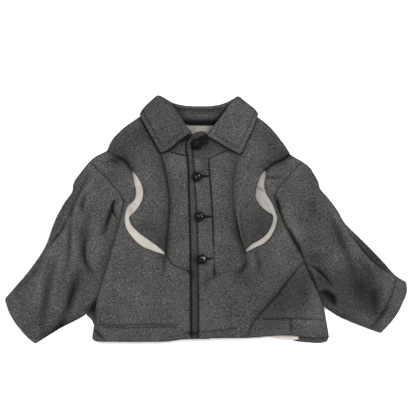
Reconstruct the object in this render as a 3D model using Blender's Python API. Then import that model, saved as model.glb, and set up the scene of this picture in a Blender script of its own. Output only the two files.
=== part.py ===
"""A cropped wool blouson laid flat, front up, on a level surface.

Metres, +Z up, the collar towards +Y. Left and right are the wearer's, so the right side lies at -X.
The back panel lies on the surface and the fronts lie over it as thin walls with a shallow hollow
between; the sleeves are flattened tubes beside and partly over the body.
"""
import math
from collections import namedtuple

import bmesh
import bpy
import numpy as np

for leftover in list(bpy.data.objects):
    bpy.data.objects.remove(leftover, do_unlink=True)

# Driving dimensions of the cloth and of its lie
CLOTH = 0.003               # felted wool
COLLAR_CLOTH = 0.0045       # two layers of it, pressed together
LINING = 0.0012             # twill lining
SEAM_GAP = 0.0003           # air between two pieces at a seam
LAYER_GAP = 0.0008          # air between a layer and what lies on it
BODY_RISE = 0.011           # hollow between the back and the fronts
EDGE_ROLL = 0.026           # width over which a front turns down to its side or shoulder
UNDERARM_ROLL = 0.3         # share of that width at the underarm, and all along the right side
SEAM_DIP = 0.0015           # depth of the cloth's dip along a seam
SEAM_SPREAD = 0.007         # half width of that dip
LAP = CLOTH + LAYER_GAP     # step from the right front up to the left front that closes over it
LAP_END = (0.020, 0.070)    # x where that step begins to sink away, and where it is gone
STAND_FOOT = 0.0146         # height of the collar stand at its seam
STAND_SLOPE = 0.20          # its rise towards the neck
STAND_RISE = 0.0130         # its greatest rise above the foot
COLLAR_HEIGHT = 0.0315      # top of the collar's roll at the back
SLEEVE_EDGE = 0.005         # half height of a sleeve's rounded edge
SLEEVE_SEAM = 0.16          # share of a sleeve's width from its outer edge to the seam on top
BUTTON_WIDTH = 0.025
BUTTON_HEIGHT = 0.011

# Outlines of the right side as laid, each a few (x, y) points along one edge
SHOULDER_R = [(-0.265, 0.188), (-0.2545, 0.2125), (-0.2325, 0.2385), (-0.1785, 0.278), (-0.153, 0.294)]
CAP_TOP_R = [(-0.265, 0.188), (-0.2775, 0.182), (-0.297, 0.172), (-0.3115, 0.1595)]
CAP_SEAM_R = [(-0.265, 0.188), (-0.2375, 0.1695), (-0.214, 0.156), (-0.198, 0.135)]
ARMHOLE_R = [(-0.3115, 0.1595), (-0.2665, 0.116), (-0.2455, 0.091), (-0.2295, 0.0715), (-0.222, 0.0555)]
SIDE_R = [(-0.222, 0.0555), (-0.2265, 0.035), (-0.231, 0.0145), (-0.238, -0.0145), (-0.2475, -0.0475),
          (-0.255, -0.074), (-0.2695, -0.1265), (-0.2865, -0.1795), (-0.293, -0.206), (-0.2965, -0.2375),
          (-0.300, -0.272), (-0.3045, -0.3005)]
SLIT_IN_R = [(-0.198, 0.135), (-0.185, 0.1175), (-0.175, 0.0975), (-0.170, 0.079), (-0.172, 0.0605),
             (-0.181, 0.041), (-0.1955, 0.025), (-0.207, 0.013), (-0.2035, -0.0065), (-0.185, -0.0285),
             (-0.1585, -0.0475), (-0.1345, -0.0635), (-0.1155, -0.0795)]
SLIT_OUT_R = [(-0.198, 0.135), (-0.200, 0.1215), (-0.1955, 0.1005), (-0.193, 0.079), (-0.197, 0.0595),
              (-0.210, 0.046), (-0.217, 0.0305), (-0.220, 0.0105), (-0.215, -0.016), (-0.2005, -0.0405),
              (-0.177, -0.0615), (-0.148, -0.074), (-0.1145, -0.0855)]
PRINCESS_R = [(-0.1265, 0.1835), (-0.118, 0.1505), (-0.1095, 0.116), (-0.1035, 0.079), (-0.1015, 0.045),
              (-0.104, 0.0), (-0.1075, -0.042), (-0.111, -0.084)]
NECK_R = [(-0.153, 0.294), (-0.1425, 0.256), (-0.1335, 0.2165), (-0.1265, 0.1835)]
BIB_TOP_R = [(-0.1265, 0.1835), (-0.1055, 0.1845), (-0.079, 0.1785), (-0.054, 0.1715)]
BIB_HEM_R = [(-0.111, -0.084), (-0.0965, -0.1055), (-0.0725, -0.122), (-0.046, -0.132)]
HEM_R = [(-0.3045, -0.3005), (-0.297, -0.314), (-0.2455, -0.316), (-0.153, -0.316), (-0.1005, -0.3145),
         (-0.074, -0.3105), (-0.045, -0.3065)]
SLEEVE_OUT_R = [(-0.3115, 0.1595), (-0.3315, 0.1345), (-0.355, 0.0955), (-0.3775, 0.051), (-0.401, 0.0065),
                (-0.4295, -0.0675), (-0.4695, -0.1265), (-0.511, -0.1755), (-0.5345, -0.2025)]
SLEEVE_IN_R = [(-0.2222, 0.0555), (-0.2278, 0.035), (-0.2324, 0.0143), (-0.2394, -0.0148), (-0.2489, -0.0478),
               (-0.2564, -0.0743), (-0.2709, -0.1268), (-0.2879, -0.1798), (-0.295, -0.2075),
               (-0.3045, -0.228), (-0.322, -0.243), (-0.3845, -0.277), (-0.454, -0.320)]
CUFF_R = [(-0.5345, -0.2025), (-0.5225, -0.236), (-0.499, -0.2735), (-0.4745, -0.3035), (-0.454, -0.320)]

# Outlines of the left side, which closes over the right and lies a little differently
SHOULDER_L = [(0.2165, 0.1785), (0.209, 0.192), (0.1925, 0.215), (0.1535, 0.2595), (0.134, 0.274),
              (0.1055, 0.294)]
CAP_TOP_L = [(0.2165, 0.1785), (0.2285, 0.1705), (0.2405, 0.164), (0.2485, 0.159)]
CAP_SEAM_L = [(0.2165, 0.1785), (0.1925, 0.162), (0.169, 0.151), (0.150, 0.136)]
ARMHOLE_L = [(0.2485, 0.159), (0.2245, 0.1345), (0.2005, 0.107), (0.1835, 0.0865), (0.1755, 0.0685)]
SIDE_L = [(0.1755, 0.0685), (0.180, 0.050), (0.1865, 0.033), (0.2055, 0.0), (0.2275, -0.037),
          (0.245, -0.0745), (0.2545, -0.103)]
FLANK_L = [(0.2545, -0.103), (0.2665, -0.1365), (0.2785, -0.1635), (0.294, -0.1965), (0.303, -0.2185),
           (0.311, -0.256), (0.3185, -0.302)]
SLIT_IN_L = [(0.150, 0.136), (0.1385, 0.1255), (0.1305, 0.108), (0.1255, 0.087), (0.124, 0.0675),
             (0.136, 0.045), (0.153, 0.027), (0.170, 0.017), (0.169, 0.0), (0.1585, -0.024),
             (0.1385, -0.0415), (0.115, -0.056), (0.100, -0.072)]
SLIT_OUT_L = [(0.150, 0.136), (0.1525, 0.123), (0.1485, 0.108), (0.153, 0.086), (0.1665, 0.066),
              (0.177, 0.0435), (0.185, 0.016), (0.181, -0.009), (0.1675, -0.0355), (0.149, -0.0535),
              (0.1255, -0.064), (0.101, -0.078)]
PRINCESS_L = [(0.0805, 0.181), (0.0715, 0.148), (0.066, 0.108), (0.065, 0.066), (0.0685, 0.029),
              (0.078, -0.013), (0.088, -0.0475), (0.0965, -0.078)]
NECK_L = [(0.1055, 0.294), (0.0965, 0.2535), (0.087, 0.214), (0.0805, 0.181)]
BIB_TOP_L = [(0.002, 0.165), (0.0265, 0.1765), (0.0555, 0.188), (0.0805, 0.181)]
BIB_HEM_L = [(0.0965, -0.078), (0.101, -0.0975), (0.0965, -0.1175), (0.083, -0.130), (0.0555, -0.130),
             (0.0165, -0.1435)]
SLANT_L = [(0.2545, -0.103), (0.2475, -0.110), (0.2325, -0.1265), (0.2085, -0.156), (0.185, -0.1875),
           (0.140, -0.2375), (0.1215, -0.260), (0.108, -0.285), (0.1015, -0.304)]
HEM_L = [(-0.025, -0.306), (0.0315, -0.304), (0.1015, -0.304)]
HEM_FLANK_L = [(0.1015, -0.304), (0.132, -0.302), (0.1955, -0.297), (0.235, -0.299), (0.2745, -0.304),
               (0.3185, -0.302)]
SLEEVE_OUT_L = [(0.2485, 0.159), (0.264, 0.1475), (0.284, 0.124), (0.298, 0.0945), (0.340, 0.0385),
                (0.361, 0.0015), (0.4035, -0.0435), (0.456, -0.099), (0.4955, -0.1395), (0.5215, -0.1575)]
SLEEVE_IN_L = [(0.1755, 0.0685), (0.185, 0.037), (0.2005, 0.0), (0.219, -0.037), (0.240, -0.0745),
               (0.2565, -0.1025), (0.2683, -0.136), (0.2803, -0.163), (0.2958, -0.196), (0.3055, -0.2205),
               (0.329, -0.239), (0.4005, -0.272), (0.455, -0.292)]
CUFF_L = [(0.5215, -0.1575), (0.5225, -0.1795), (0.509, -0.217), (0.485, -0.258), (0.455, -0.292)]

# Outlines of the closing, from the neck down to the hem
EDGE_LEFT = [(-0.0355, 0.227), (-0.048, 0.218), (-0.055, 0.2005), (-0.054, 0.1715)]
EDGE_LEFT_BIB = [(-0.054, 0.1715), (-0.0515, 0.132), (-0.0495, 0.058), (-0.047, -0.0345), (-0.046, -0.132)]
EDGE_LEFT_LOW = [(-0.046, -0.132), (-0.045, -0.219), (-0.045, -0.3065)]
EDGE_RIGHT = [(-0.025, 0.228), (-0.0335, 0.215), (-0.039, 0.1965), (-0.0385, 0.168)]
EDGE_RIGHT_BAND = [(-0.0385, 0.168), (-0.034, 0.1005), (-0.030, 0.042), (-0.027, -0.0475),
                   (-0.0245, -0.169)]
EDGE_RIGHT_LOW = [(-0.0245, -0.169), (-0.0245, -0.240), (-0.025, -0.306)]
BAND_TOP = [(-0.0385, 0.168), (-0.0185, 0.165), (0.002, 0.165)]
BAND_RIGHT = [(0.002, 0.165), (0.004, 0.124), (0.0085, 0.0715), (0.0115, 0.0185), (0.0145, -0.0605),
              (0.0165, -0.1435)]
BAND_HEM = [(-0.0245, -0.169), (-0.0055, -0.157), (0.0165, -0.1435)]
UNDERLAP_WIDTH = 0.048

# Outlines of the collar; the rows of a roll also state the height of its underside
ROLL_R = [(-0.0505, 0.2275, 0.0300), (-0.056, 0.251, 0.0330), (-0.078, 0.2845, 0.0335),
          (-0.1055, 0.319, 0.0335), (-0.1305, 0.333, 0.0325)]
ROLL_L = [(-0.0025, 0.2235, 0.0330), (0.0155, 0.252, 0.0360), (0.0385, 0.2825, 0.0350),
          (0.062, 0.315, 0.0335), (0.0785, 0.3305, 0.0325)]
LEAF_EDGE_R = [(-0.1245, 0.1805), (-0.152, 0.2365), (-0.180, 0.290)]
LEAF_EDGE_L = [(0.086, 0.177), (0.103, 0.214), (0.1185, 0.248), (0.133, 0.2845)]
LEAF_TOP_R = [(-0.1305, 0.333), (-0.157, 0.3105), (-0.180, 0.290)]
LEAF_TOP_L = [(0.0785, 0.3305), (0.104, 0.3105), (0.1225, 0.2965), (0.133, 0.2845)]
LEAF_LOW_R = [(-0.0505, 0.2275), (-0.079, 0.210), (-0.108, 0.189), (-0.1245, 0.1805)]
LEAF_LOW_L = [(-0.0025, 0.2235), (0.0265, 0.2085), (0.058, 0.190), (0.086, 0.177)]
CREST_BACK = [(-0.1305, 0.333), (-0.1135, 0.324), (-0.090, 0.3115), (-0.058, 0.3045), (-0.021, 0.303),
              (0.016, 0.3045), (0.045, 0.3115), (0.0635, 0.321), (0.0785, 0.3305)]
STAND_TOP_R = [(-0.082, 0.2665), (-0.063, 0.248), (-0.0525, 0.227), (-0.034, 0.2265), (-0.020, 0.234),
               (-0.0105, 0.238), (-0.0025, 0.234)]
STAND_FOOT_R = [(-0.113, 0.1847), (-0.1055, 0.1845), (-0.079, 0.1785), (-0.054, 0.1715), (-0.029, 0.1685),
                (-0.0045, 0.170)]
STAND_TOP_L = [(-0.025, 0.228), (-0.013, 0.230), (-0.002, 0.2335), (0.012, 0.2475), (0.029, 0.2705)]
STAND_BACK_TUCK = 0.0092      # from the crest of the roll in to the seam of the stand
STAND_LOW_BACK = [(-0.0845, 0.278), (-0.0555, 0.261), (-0.021, 0.258), (0.013, 0.2575), (0.037, 0.276)]

# Outlines of the back panel and of the lining that shows on it
NECK_BACK = [(-0.153, 0.294), (-0.1135, 0.276), (-0.074, 0.264), (-0.021, 0.2605), (0.0265, 0.264),
             (0.0715, 0.277), (0.1055, 0.294)]
HEM_BACK = [(0.3185, -0.302), (0.317, -0.3115), (0.301, -0.3185), (0.2695, -0.3175), (0.235, -0.3145),
            (0.2165, -0.3095), (0.1585, -0.301), (0.0845, -0.2985), (-0.021, -0.2995), (-0.1005, -0.3075),
            (-0.206, -0.311), (-0.2905, -0.3095), (-0.3045, -0.3005)]
FLANK_R = [(-0.300, -0.272), (-0.307, -0.2575), (-0.316, -0.2465), (-0.2965, -0.229)]

Fold = namedtuple("Fold", "start middle end width depth")
Puff = namedtuple("Puff", "x y reach_x reach_y height")

# Main folds of the body; a trough has a positive depth and a ridge a negative one
BODY_FOLDS = [
    Fold((-0.113, -0.088), (-0.116, -0.110), (-0.118, -0.140), 0.010, 0.0025),
    Fold((0.120, -0.072), (0.133, -0.105), (0.137, -0.138), 0.010, 0.0030),
    Fold((0.155, 0.118), (0.170, 0.1165), (0.188, 0.116), 0.007, 0.0020),
    Fold((-0.277, 0.153), (-0.251, 0.160), (-0.214, 0.157), 0.008, 0.0015),
    Fold((0.185, -0.060), (0.215, -0.085), (0.240, -0.120), 0.016, 0.0030),
]
BODY_PUFFS = [
    Puff(-0.150, 0.140, 0.050, 0.090, 0.0035),
    Puff(0.107, 0.140, 0.050, 0.090, 0.0035),
    Puff(-0.150, -0.190, 0.110, 0.080, 0.0030),
    Puff(0.070, -0.215, 0.080, 0.060, 0.0030),
]
SLEEVE_FOLDS_R = [
    Fold((-0.246, 0.058), (-0.257, 0.012), (-0.276, -0.028), 0.011, 0.0060),
    Fold((-0.311, 0.011), (-0.323, -0.072), (-0.306, -0.130), 0.015, 0.0050),
    Fold((-0.343, -0.148), (-0.362, -0.206), (-0.383, -0.262), 0.015, 0.0050),
    Fold((-0.407, -0.116), (-0.424, -0.166), (-0.434, -0.235), 0.015, 0.0040),
    Fold((-0.296, 0.100), (-0.345, 0.040), (-0.356, -0.050), 0.024, -0.0035),
]
SLEEVE_FOLDS_L = [
    Fold((0.322, 0.013), (0.345, -0.035), (0.378, -0.100), 0.015, 0.0050),
    Fold((0.388, -0.092), (0.417, -0.127), (0.430, -0.165), 0.015, 0.0045),
    Fold((0.256, -0.114), (0.283, -0.133), (0.317, -0.161), 0.009, 0.0045),
    Fold((0.293, -0.183), (0.314, -0.186), (0.330, -0.209), 0.011, 0.0060),
    Fold((0.345, 0.005), (0.385, -0.045), (0.425, -0.095), 0.022, -0.0030),
]
# Share of a sleeve's length, and its height there
SLEEVE_RISE = [(0.0, 0.015), (0.15, 0.020), (0.45, 0.025), (0.75, 0.024), (1.0, 0.017)]
# Shares of a sleeve's width at which its sections have points
ACROSS = np.array([0.0, 0.03, 0.09, SLEEVE_SEAM, 0.27, 0.40, 0.53, 0.66, 0.78, 0.88, 0.95, 1.0])
BUTTONS = [(-0.0315, 0.2045), (-0.029, 0.119), (-0.022, 0.0145), (-0.015, -0.097)]


def even(path, shares):
    """Points of a path at the given shares of its length."""
    path = np.asarray(path, float)
    run = np.concatenate([[0.0], np.cumsum(np.linalg.norm(np.diff(path, axis=0), axis=1))])
    return np.stack([np.interp(shares * run[-1], run, path[:, k]) for k in range(path.shape[1])], axis=1)


def curve(points, shares):
    """Points of a smooth curve through the given ones; shares is a count or a list of shares."""
    p = np.asarray(points, float)
    shares = np.linspace(0, 1, shares) if np.isscalar(shares) else shares
    t = np.concatenate([[0.0], np.cumsum(np.linalg.norm(np.diff(p, axis=0), axis=1))])
    slope = np.gradient(p, t, axis=0)
    fine = np.linspace(0, t[-1], 16 * len(p))
    k = np.clip(np.searchsorted(t, fine, side="right") - 1, 0, len(t) - 2)
    span = (t[k + 1] - t[k])[:, None]
    s = (fine - t[k])[:, None] / span
    path = ((2 * s**3 - 3 * s**2 + 1) * p[k] + (s**3 - 2 * s**2 + s) * span * slope[k]
            + (3 * s**2 - 2 * s**3) * p[k + 1] + (s**3 - s**2) * span * slope[k + 1])
    return even(path, shares)


def join(*runs):
    """One run from several that each start where the last one ends."""
    return np.concatenate([runs[0]] + [run[1:] for run in runs[1:]])


def nearest(run, flat):
    """How far each point is from a run, how far along it the nearest place lies, and on which side."""
    start = run[:-1]
    step = run[1:] - start
    away = flat[..., None, :] - start
    t = np.clip((away * step).sum(-1) / (step * step).sum(-1), 0, 1)
    apart = np.linalg.norm(away - t[..., None] * step, axis=-1)
    k = apart.argmin(-1)[..., None]
    cross = step[:, 0] * away[..., 1] - step[:, 1] * away[..., 0]
    pick = [np.take_along_axis(a, k, -1)[..., 0] for a in (apart, t, cross)]
    return pick[0], (k[..., 0] + pick[1]) / (len(run) - 1), np.sign(pick[2])


def smooth(low, high, value):
    """Goes softly from 0 at low to 1 at high."""
    s = np.clip((value - low) / (high - low), 0, 1)
    return s * s * (3 - 2 * s)


def patch(left, right, top, bottom, shares=None):
    """A grid filling four edges; its rows run from left to right, the first row along the top."""
    v = np.linspace(0, 1, len(left))[:, None, None]
    u = (np.linspace(0, 1, len(top)) if shares is None else shares)[None, :, None]
    rows = (1 - u) * left[:, None] + u * right[:, None]
    return rows + (top[None] - rows[:1]) * (1 - v) ** 4 + (bottom[None] - rows[-1:]) * v**4


def drawn_in(flat, amount):
    """The same grid with its outline moved in by an amount, square to the outline."""
    moved = flat.copy()
    sides = [(np.s_[0], np.s_[1]), (np.s_[-1], np.s_[-2]),
             (np.s_[:, 0], np.s_[:, 1]), (np.s_[:, -1], np.s_[:, -2])]
    for rim, inside in sides:
        run = flat[rim][:, :2]
        along = np.gradient(run, axis=0)
        square = np.stack([-along[:, 1], along[:, 0]], axis=1)
        square /= np.linalg.norm(square, axis=1)[:, None]
        inward = np.sign((square * (flat[inside][:, :2] - run)).sum(1).sum())
        moved[rim][:, :2] += inward * amount * square
    return moved


def fold_depth(folds, flat):
    """Sum of the folds at each point, fading out to the ends of each fold."""
    depth = np.zeros(flat.shape[:-1])
    for fold in folds:
        apart, along, _ = nearest(curve([fold.start, fold.middle, fold.end], 9), flat)
        depth += fold.depth * np.sin(math.pi * along) ** 0.7 * np.exp(-((apart / fold.width) ** 2))
    return depth


def puff_height(puffs, flat):
    """Sum of the broad swells at each point."""
    height = np.zeros(flat.shape[:-1])
    for puff in puffs:
        across = (flat[..., 0] - puff.x) / puff.reach_x
        along = (flat[..., 1] - puff.y) / puff.reach_y
        height += puff.height * np.exp(-(across**2) - along**2)
    return height


BODY_EDGES = [curve(run, 14) for run in (SHOULDER_R, CAP_TOP_R, SHOULDER_L, CAP_TOP_L)]
BODY_SIDES = [(curve(run, 36), widening) for run, widening in ((SIDE_R, 0.0), (SIDE_L + FLANK_L[1:], 1.0))]
BODY_SEAMS = [curve(run, 20) for run in (CAP_SEAM_R, PRINCESS_R, BIB_HEM_R, ARMHOLE_R,
                                         CAP_SEAM_L, PRINCESS_L, BIB_HEM_L, ARMHOLE_L, SLANT_L)]


def front_lie(flat):
    """Height of the underside of the fronts at each point."""
    edge = np.min([nearest(run, flat)[0] for run in BODY_EDGES], axis=0)
    for run, widening in BODY_SIDES:
        apart, along, _ = nearest(run, flat)
        width = UNDERARM_ROLL + widening * (1 - UNDERARM_ROLL) * smooth(0.0, 0.35, along)
        edge = np.minimum(edge, apart / width)
    roll = np.sin(0.5 * math.pi * np.clip(edge / EDGE_ROLL, 0, 1))
    seam = np.min([nearest(run, flat)[0] for run in BODY_SEAMS], axis=0)
    dip = SEAM_DIP * np.exp(-((seam / SEAM_SPREAD) ** 2))
    swell = puff_height(BODY_PUFFS, flat) - fold_depth(BODY_FOLDS, flat)
    return CLOTH + SEAM_GAP + roll * (BODY_RISE - dip + swell)


def lap(flat):
    """How much higher the left front lies than the right one."""
    return LAP * (1 - smooth(*LAP_END, flat[..., 0]))


def stand_lie(flat):
    """Height of the underside of the collar stand in front."""
    return STAND_FOOT + np.clip(STAND_SLOPE * (flat[..., 1] - BAND_TOP[-1][1]), 0, STAND_RISE)


def cloth_material(name, colour, roughness):
    """A plain finish in the colour of the real piece."""
    finish = bpy.data.materials.new(name)
    finish.use_nodes = True
    shader = finish.node_tree.nodes["Principled BSDF"]
    shader.inputs["Base Color"].default_value = (*colour, 1.0)
    shader.inputs["Roughness"].default_value = roughness
    shader.inputs["Metallic"].default_value = 0.0
    return finish


WOOL = (0.088, 0.086, 0.085)
LINING_CREAM = (0.62, 0.58, 0.53)
LEATHER = (0.016, 0.013, 0.012)


def add_object(name, mesh_builder, colour, roughness=0.95):
    """Puts a finished bmesh into the scene as one named object with its own material."""
    bmesh.ops.recalc_face_normals(mesh_builder, faces=mesh_builder.faces)
    mesh = bpy.data.meshes.new(name)
    mesh_builder.to_mesh(mesh)
    mesh_builder.free()
    mesh.materials.append(cloth_material(name + "_finish", colour, roughness))
    piece = bpy.data.objects.new(name, mesh)
    bpy.context.collection.objects.link(piece)
    return piece


def wall(name, low, high, colour=WOOL):
    """A closed wall between two like grids, with a rim all round."""
    rows, columns = low.shape[:2]
    builder = bmesh.new()
    under = [[builder.verts.new(p) for p in row] for row in low]
    over = [[builder.verts.new(p) for p in row] for row in high]
    for i in range(rows - 1):
        for j in range(columns - 1):
            for side in (under, over):
                builder.faces.new((side[i][j], side[i][j + 1], side[i + 1][j + 1]))
                builder.faces.new((side[i][j], side[i + 1][j + 1], side[i + 1][j]))
    rim = [(0, j) for j in range(columns)] + [(i, columns - 1) for i in range(1, rows)]
    rim += [(rows - 1, j) for j in range(columns - 2, -1, -1)] + [(i, 0) for i in range(rows - 2, 0, -1)]
    for (i, j), (k, m) in zip(rim, rim[1:] + rim[:1]):
        builder.faces.new((under[i][j], under[k][m], over[k][m], over[i][j]))
    return add_object(name, builder, colour)


def at_height(flat, height):
    """A flat grid lifted to the given heights."""
    return np.concatenate([flat, np.broadcast_to(height, flat.shape[:-1])[..., None]], axis=-1)


def panel(name, flat, height, thickness=CLOTH, colour=WOOL):
    """A cloth panel over a flat grid; height is a function giving the height of its underside."""
    flat = drawn_in(flat, SEAM_GAP / 2)
    low = height(flat)
    return wall(name, at_height(flat, low), at_height(flat, low + thickness), colour)


def line(start, end, count):
    """Even points on a straight line."""
    return np.linspace(start, end, count)


def left_lie(flat):
    """Height of the underside of the left front, which closes over the right."""
    return front_lie(flat) + lap(flat)


# Bibs: the centre fronts between the princess seams and the closing
bib_left_edge = curve(PRINCESS_R, 16)
bib_right = patch(bib_left_edge, curve(EDGE_LEFT_BIB, 16), curve(BIB_TOP_R, 6), curve(BIB_HEM_R, 6))
panel("bib_right", bib_right, front_lie)
princess_left = curve(PRINCESS_L, 16)
bib_left = patch(curve(BAND_RIGHT, 16), princess_left, curve(BIB_TOP_L, 8), curve(BIB_HEM_L, 8)[::-1])
panel("bib_left", bib_left, left_lie)

# Side fronts: from the shoulder down to a point between the slit and the bib
for side, shoulder, cap_seam, slit_in, neck, princess, height in (
        ("right", SHOULDER_R, CAP_SEAM_R, SLIT_IN_R, NECK_R, PRINCESS_R, front_lie),
        ("left", SHOULDER_L, CAP_SEAM_L, SLIT_IN_L, NECK_L, PRINCESS_L, left_lie)):
    outer = join(curve(cap_seam, 7), curve(slit_in, 18))
    inner = join(curve(neck, 9), curve(princess, 16))
    tip = line(outer[-1], inner[-1], 7)
    panel("side_front_" + side, patch(outer, inner, curve(shoulder, 7), tip), height)

# Outer fronts: from the armhole round the slit and the bib to the hem
UNDERARM_SHARE = 0.28       # share of a slit's length from its top to level with the underarm
slit_rows = join(np.linspace(0, UNDERARM_SHARE, 6), np.linspace(UNDERARM_SHARE, 1, 13))
armhole_right = curve(ARMHOLE_R, ACROSS)
armhole_left = curve(ARMHOLE_L, ACROSS)
tip_right = line(SLIT_OUT_R[-1], BIB_HEM_R[0], 2)
inner = join(curve(CAP_SEAM_R, 7), curve(SLIT_OUT_R, slit_rows), tip_right, curve(BIB_HEM_R, 6),
             curve(EDGE_LEFT_LOW, 9))
outer = join(armhole_right, curve(SIDE_R, len(inner) - len(ACROSS) + 1))
panel("outer_front_right", patch(outer, inner, curve(CAP_TOP_R, 9)[::-1], curve(HEM_R, 9)), front_lie)
tip_left = line(SLIT_OUT_L[-1], BIB_HEM_L[0], 2)
inner = join(curve(CAP_SEAM_L, 7), curve(SLIT_OUT_L, slit_rows), tip_left, curve(BIB_HEM_L, 8),
             curve(BAND_HEM, 4)[::-1], curve(EDGE_RIGHT_LOW, 7))
slant = curve(SLANT_L, len(inner) - len(ACROSS) - 7 + 2)
outer = join(armhole_left, curve(SIDE_L, 7), slant)
panel("outer_front_left", patch(inner, outer, curve(CAP_TOP_L, 9), curve(HEM_L, 9)), left_lie)

# Side panel at the left, below the slanting seam
flank = curve(FLANK_L, len(slant))
SIDE_TIP = 0.006
apex = line(slant[0] - (SIDE_TIP / 2, SIDE_TIP / 2), slant[0] + (0.0, -SIDE_TIP), 8)
side_seam = join(apex[:1], slant[1:])
side_edge = join(apex[-1:], flank[1:])
panel("side_panel_left", patch(side_seam, side_edge, apex, curve(HEM_FLANK_L, 8)), front_lie)

# Closing: the stitched edge strip and the button band lie on the underlap
strip_left = join(curve(EDGE_LEFT, 6), curve(EDGE_LEFT_BIB, 16), curve(EDGE_LEFT_LOW, 9))
strip_right = join(curve(EDGE_RIGHT, 6), curve(EDGE_RIGHT_BAND, 19), curve(EDGE_RIGHT_LOW, 6))


def closing_lie(flat):
    """Underside of the closing: on the stand at the neck, on the underlap below it."""
    return np.maximum(front_lie(flat), stand_lie(flat)) + LAP


strip = patch(strip_left, strip_right, line(strip_left[0], strip_right[0], 3),
              line(strip_left[-1], strip_right[-1], 3))
panel("front_edge_strip", strip, closing_lie)
band = patch(curve(EDGE_RIGHT_BAND, 19), curve(BAND_RIGHT, 19), curve(BAND_TOP, 5), curve(BAND_HEM, 5))
panel("button_band", band, closing_lie)
underlap_left = join(curve(EDGE_LEFT_BIB, 16), curve(EDGE_LEFT_LOW, 9))
underlap_right = underlap_left + (UNDERLAP_WIDTH, 0.0)
underlap_right[0, 1] = underlap_left[0, 1] - 0.010
underlap = patch(underlap_left, underlap_right, line(underlap_left[0], underlap_right[0], 4),
                 line(underlap_left[-1], underlap_right[-1], 4))
panel("underlap", underlap, front_lie)

# Collar stand: the right end runs on under the left end, and the back part closes the neck behind
foot = curve(STAND_FOOT_R, 13)
top = curve(STAND_TOP_R, 13)
panel("stand_right", patch(line(top[0], foot[0], 6), line(top[-1], foot[-1], 6), top, foot), stand_lie)


def stand_left_lie(flat):
    """The left end of the stand, a layer above the right end."""
    return stand_lie(flat) + lap(flat)


foot = join(curve(BAND_TOP, 5), curve(BIB_TOP_L, 8))
top = curve(STAND_TOP_L, 12)
stand_edge = curve(EDGE_RIGHT, 6)
panel("stand_left", patch(stand_edge, line(top[-1], foot[-1], 6), top, foot), stand_left_lie)
crest_back = curve(CREST_BACK, np.linspace(0.17, 0.83, 15))
ahead = np.gradient(crest_back, axis=0)
into_neck = np.stack([ahead[:, 1], -ahead[:, 0]], axis=1) / np.linalg.norm(ahead, axis=1)[:, None]
top = crest_back + STAND_BACK_TUCK * into_neck
foot = curve(STAND_LOW_BACK, 15)
STAND_BACK_FOOT = CLOTH + SEAM_GAP
slope = line(0.0, 1.0, 5)[:, None]
back_stand = patch(line(top[0], foot[0], 5), line(top[-1], foot[-1], 5), top, foot)
back_stand_low = COLLAR_HEIGHT - 0.0095 - (COLLAR_HEIGHT - 0.0095 - STAND_BACK_FOOT) * slope**0.85
panel("stand_back", back_stand, lambda flat: np.broadcast_to(back_stand_low, flat.shape[:-1]))


def leaf(name, roll, leaf_edge, leaf_top, leaf_low, support):
    """A collar leaf from its roll to its outer edge, resting on what lies below it."""
    roll_run = curve(roll, 11)
    edge_run = curve(leaf_edge, 11)
    low_run = curve(leaf_low, 9)
    top_run = curve(leaf_top, 9)
    flat = patch(roll_run[:, :2], edge_run, low_run, top_run)
    out = np.linspace(0, 1, 9)[None, :]
    rest = support(flat) + LAYER_GAP
    lie = roll_run[:, 2:] * (1 - out**1.5) + rest[:, -1:] * out**1.5
    lie = np.maximum(lie, rest)
    wall(name, at_height(flat, lie), at_height(flat, lie + COLLAR_CLOTH))


# Collar leaves, right and left
leaf("collar_leaf_right", ROLL_R, LEAF_EDGE_R, LEAF_TOP_R, LEAF_LOW_R,
     lambda flat: np.maximum(front_lie(flat), stand_lie(flat) * (flat[..., 0] > -0.124)) + CLOTH)
leaf("collar_leaf_left", ROLL_L, LEAF_EDGE_L, LEAF_TOP_L, LEAF_LOW_L,
     lambda flat: np.maximum(left_lie(flat), stand_left_lie(flat) * (flat[..., 0] < 0.084)) + CLOTH)

# Back of the collar: a wall from the surface up over the roll to the seam of the stand
Section = namedtuple("Section", "inward height")
BACK_SECTION = [Section(0.0098, 0.84), Section(0.0050, 0.96), Section(0.0015, 1.0), Section(0.0, 0.86),
                Section(0.0, 0.45), Section(0.0040, 0.0)]
SIDE_SECTION = [Section(0.0062, 0.94), Section(0.0040, 0.98), Section(0.0015, 1.0), Section(0.0, 0.86),
                Section(0.0, 0.45), Section(0.0040, 0.0)]
crest = join(curve(LEAF_TOP_R, 6)[::-1], curve(CREST_BACK, 19), curve(LEAF_TOP_L, 6))
behind = np.array([5 <= k <= 23 for k in range(len(crest))])
top_height = np.where(behind, COLLAR_HEIGHT, 0.0)
END_HEIGHT = 0.0060
top_height[:6] = np.linspace(END_HEIGHT, COLLAR_HEIGHT - LAYER_GAP, 6)
top_height[23:] = np.linspace(COLLAR_HEIGHT - LAYER_GAP, END_HEIGHT, 6)
along = np.gradient(crest, axis=0)
square = np.stack([along[:, 1], -along[:, 0]], axis=1)
square /= np.linalg.norm(square, axis=1)[:, None]


def collar_ring(k, inset):
    """The section of the collar's back at one place, moved in by an inset square to itself."""
    rows = BACK_SECTION if 6 <= k <= 22 else SIDE_SECTION
    shape = np.array([(row.inward, row.height * top_height[k]) for row in rows])
    turn = np.gradient(shape, axis=0)
    inside = np.stack([-turn[:, 1], turn[:, 0]], axis=1)
    inside /= np.linalg.norm(inside, axis=1)[:, None]
    inside[-1] = (1.0, 0.0)
    shape = shape + inset * inside
    return np.column_stack([crest[k] + shape[:, :1] * square[k], shape[:, 1]])


outside = np.array([collar_ring(k, 0.0) for k in range(len(crest))])
inside = np.array([collar_ring(k, CLOTH) for k in range(len(crest))])
wall("collar_back", inside, outside)


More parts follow.
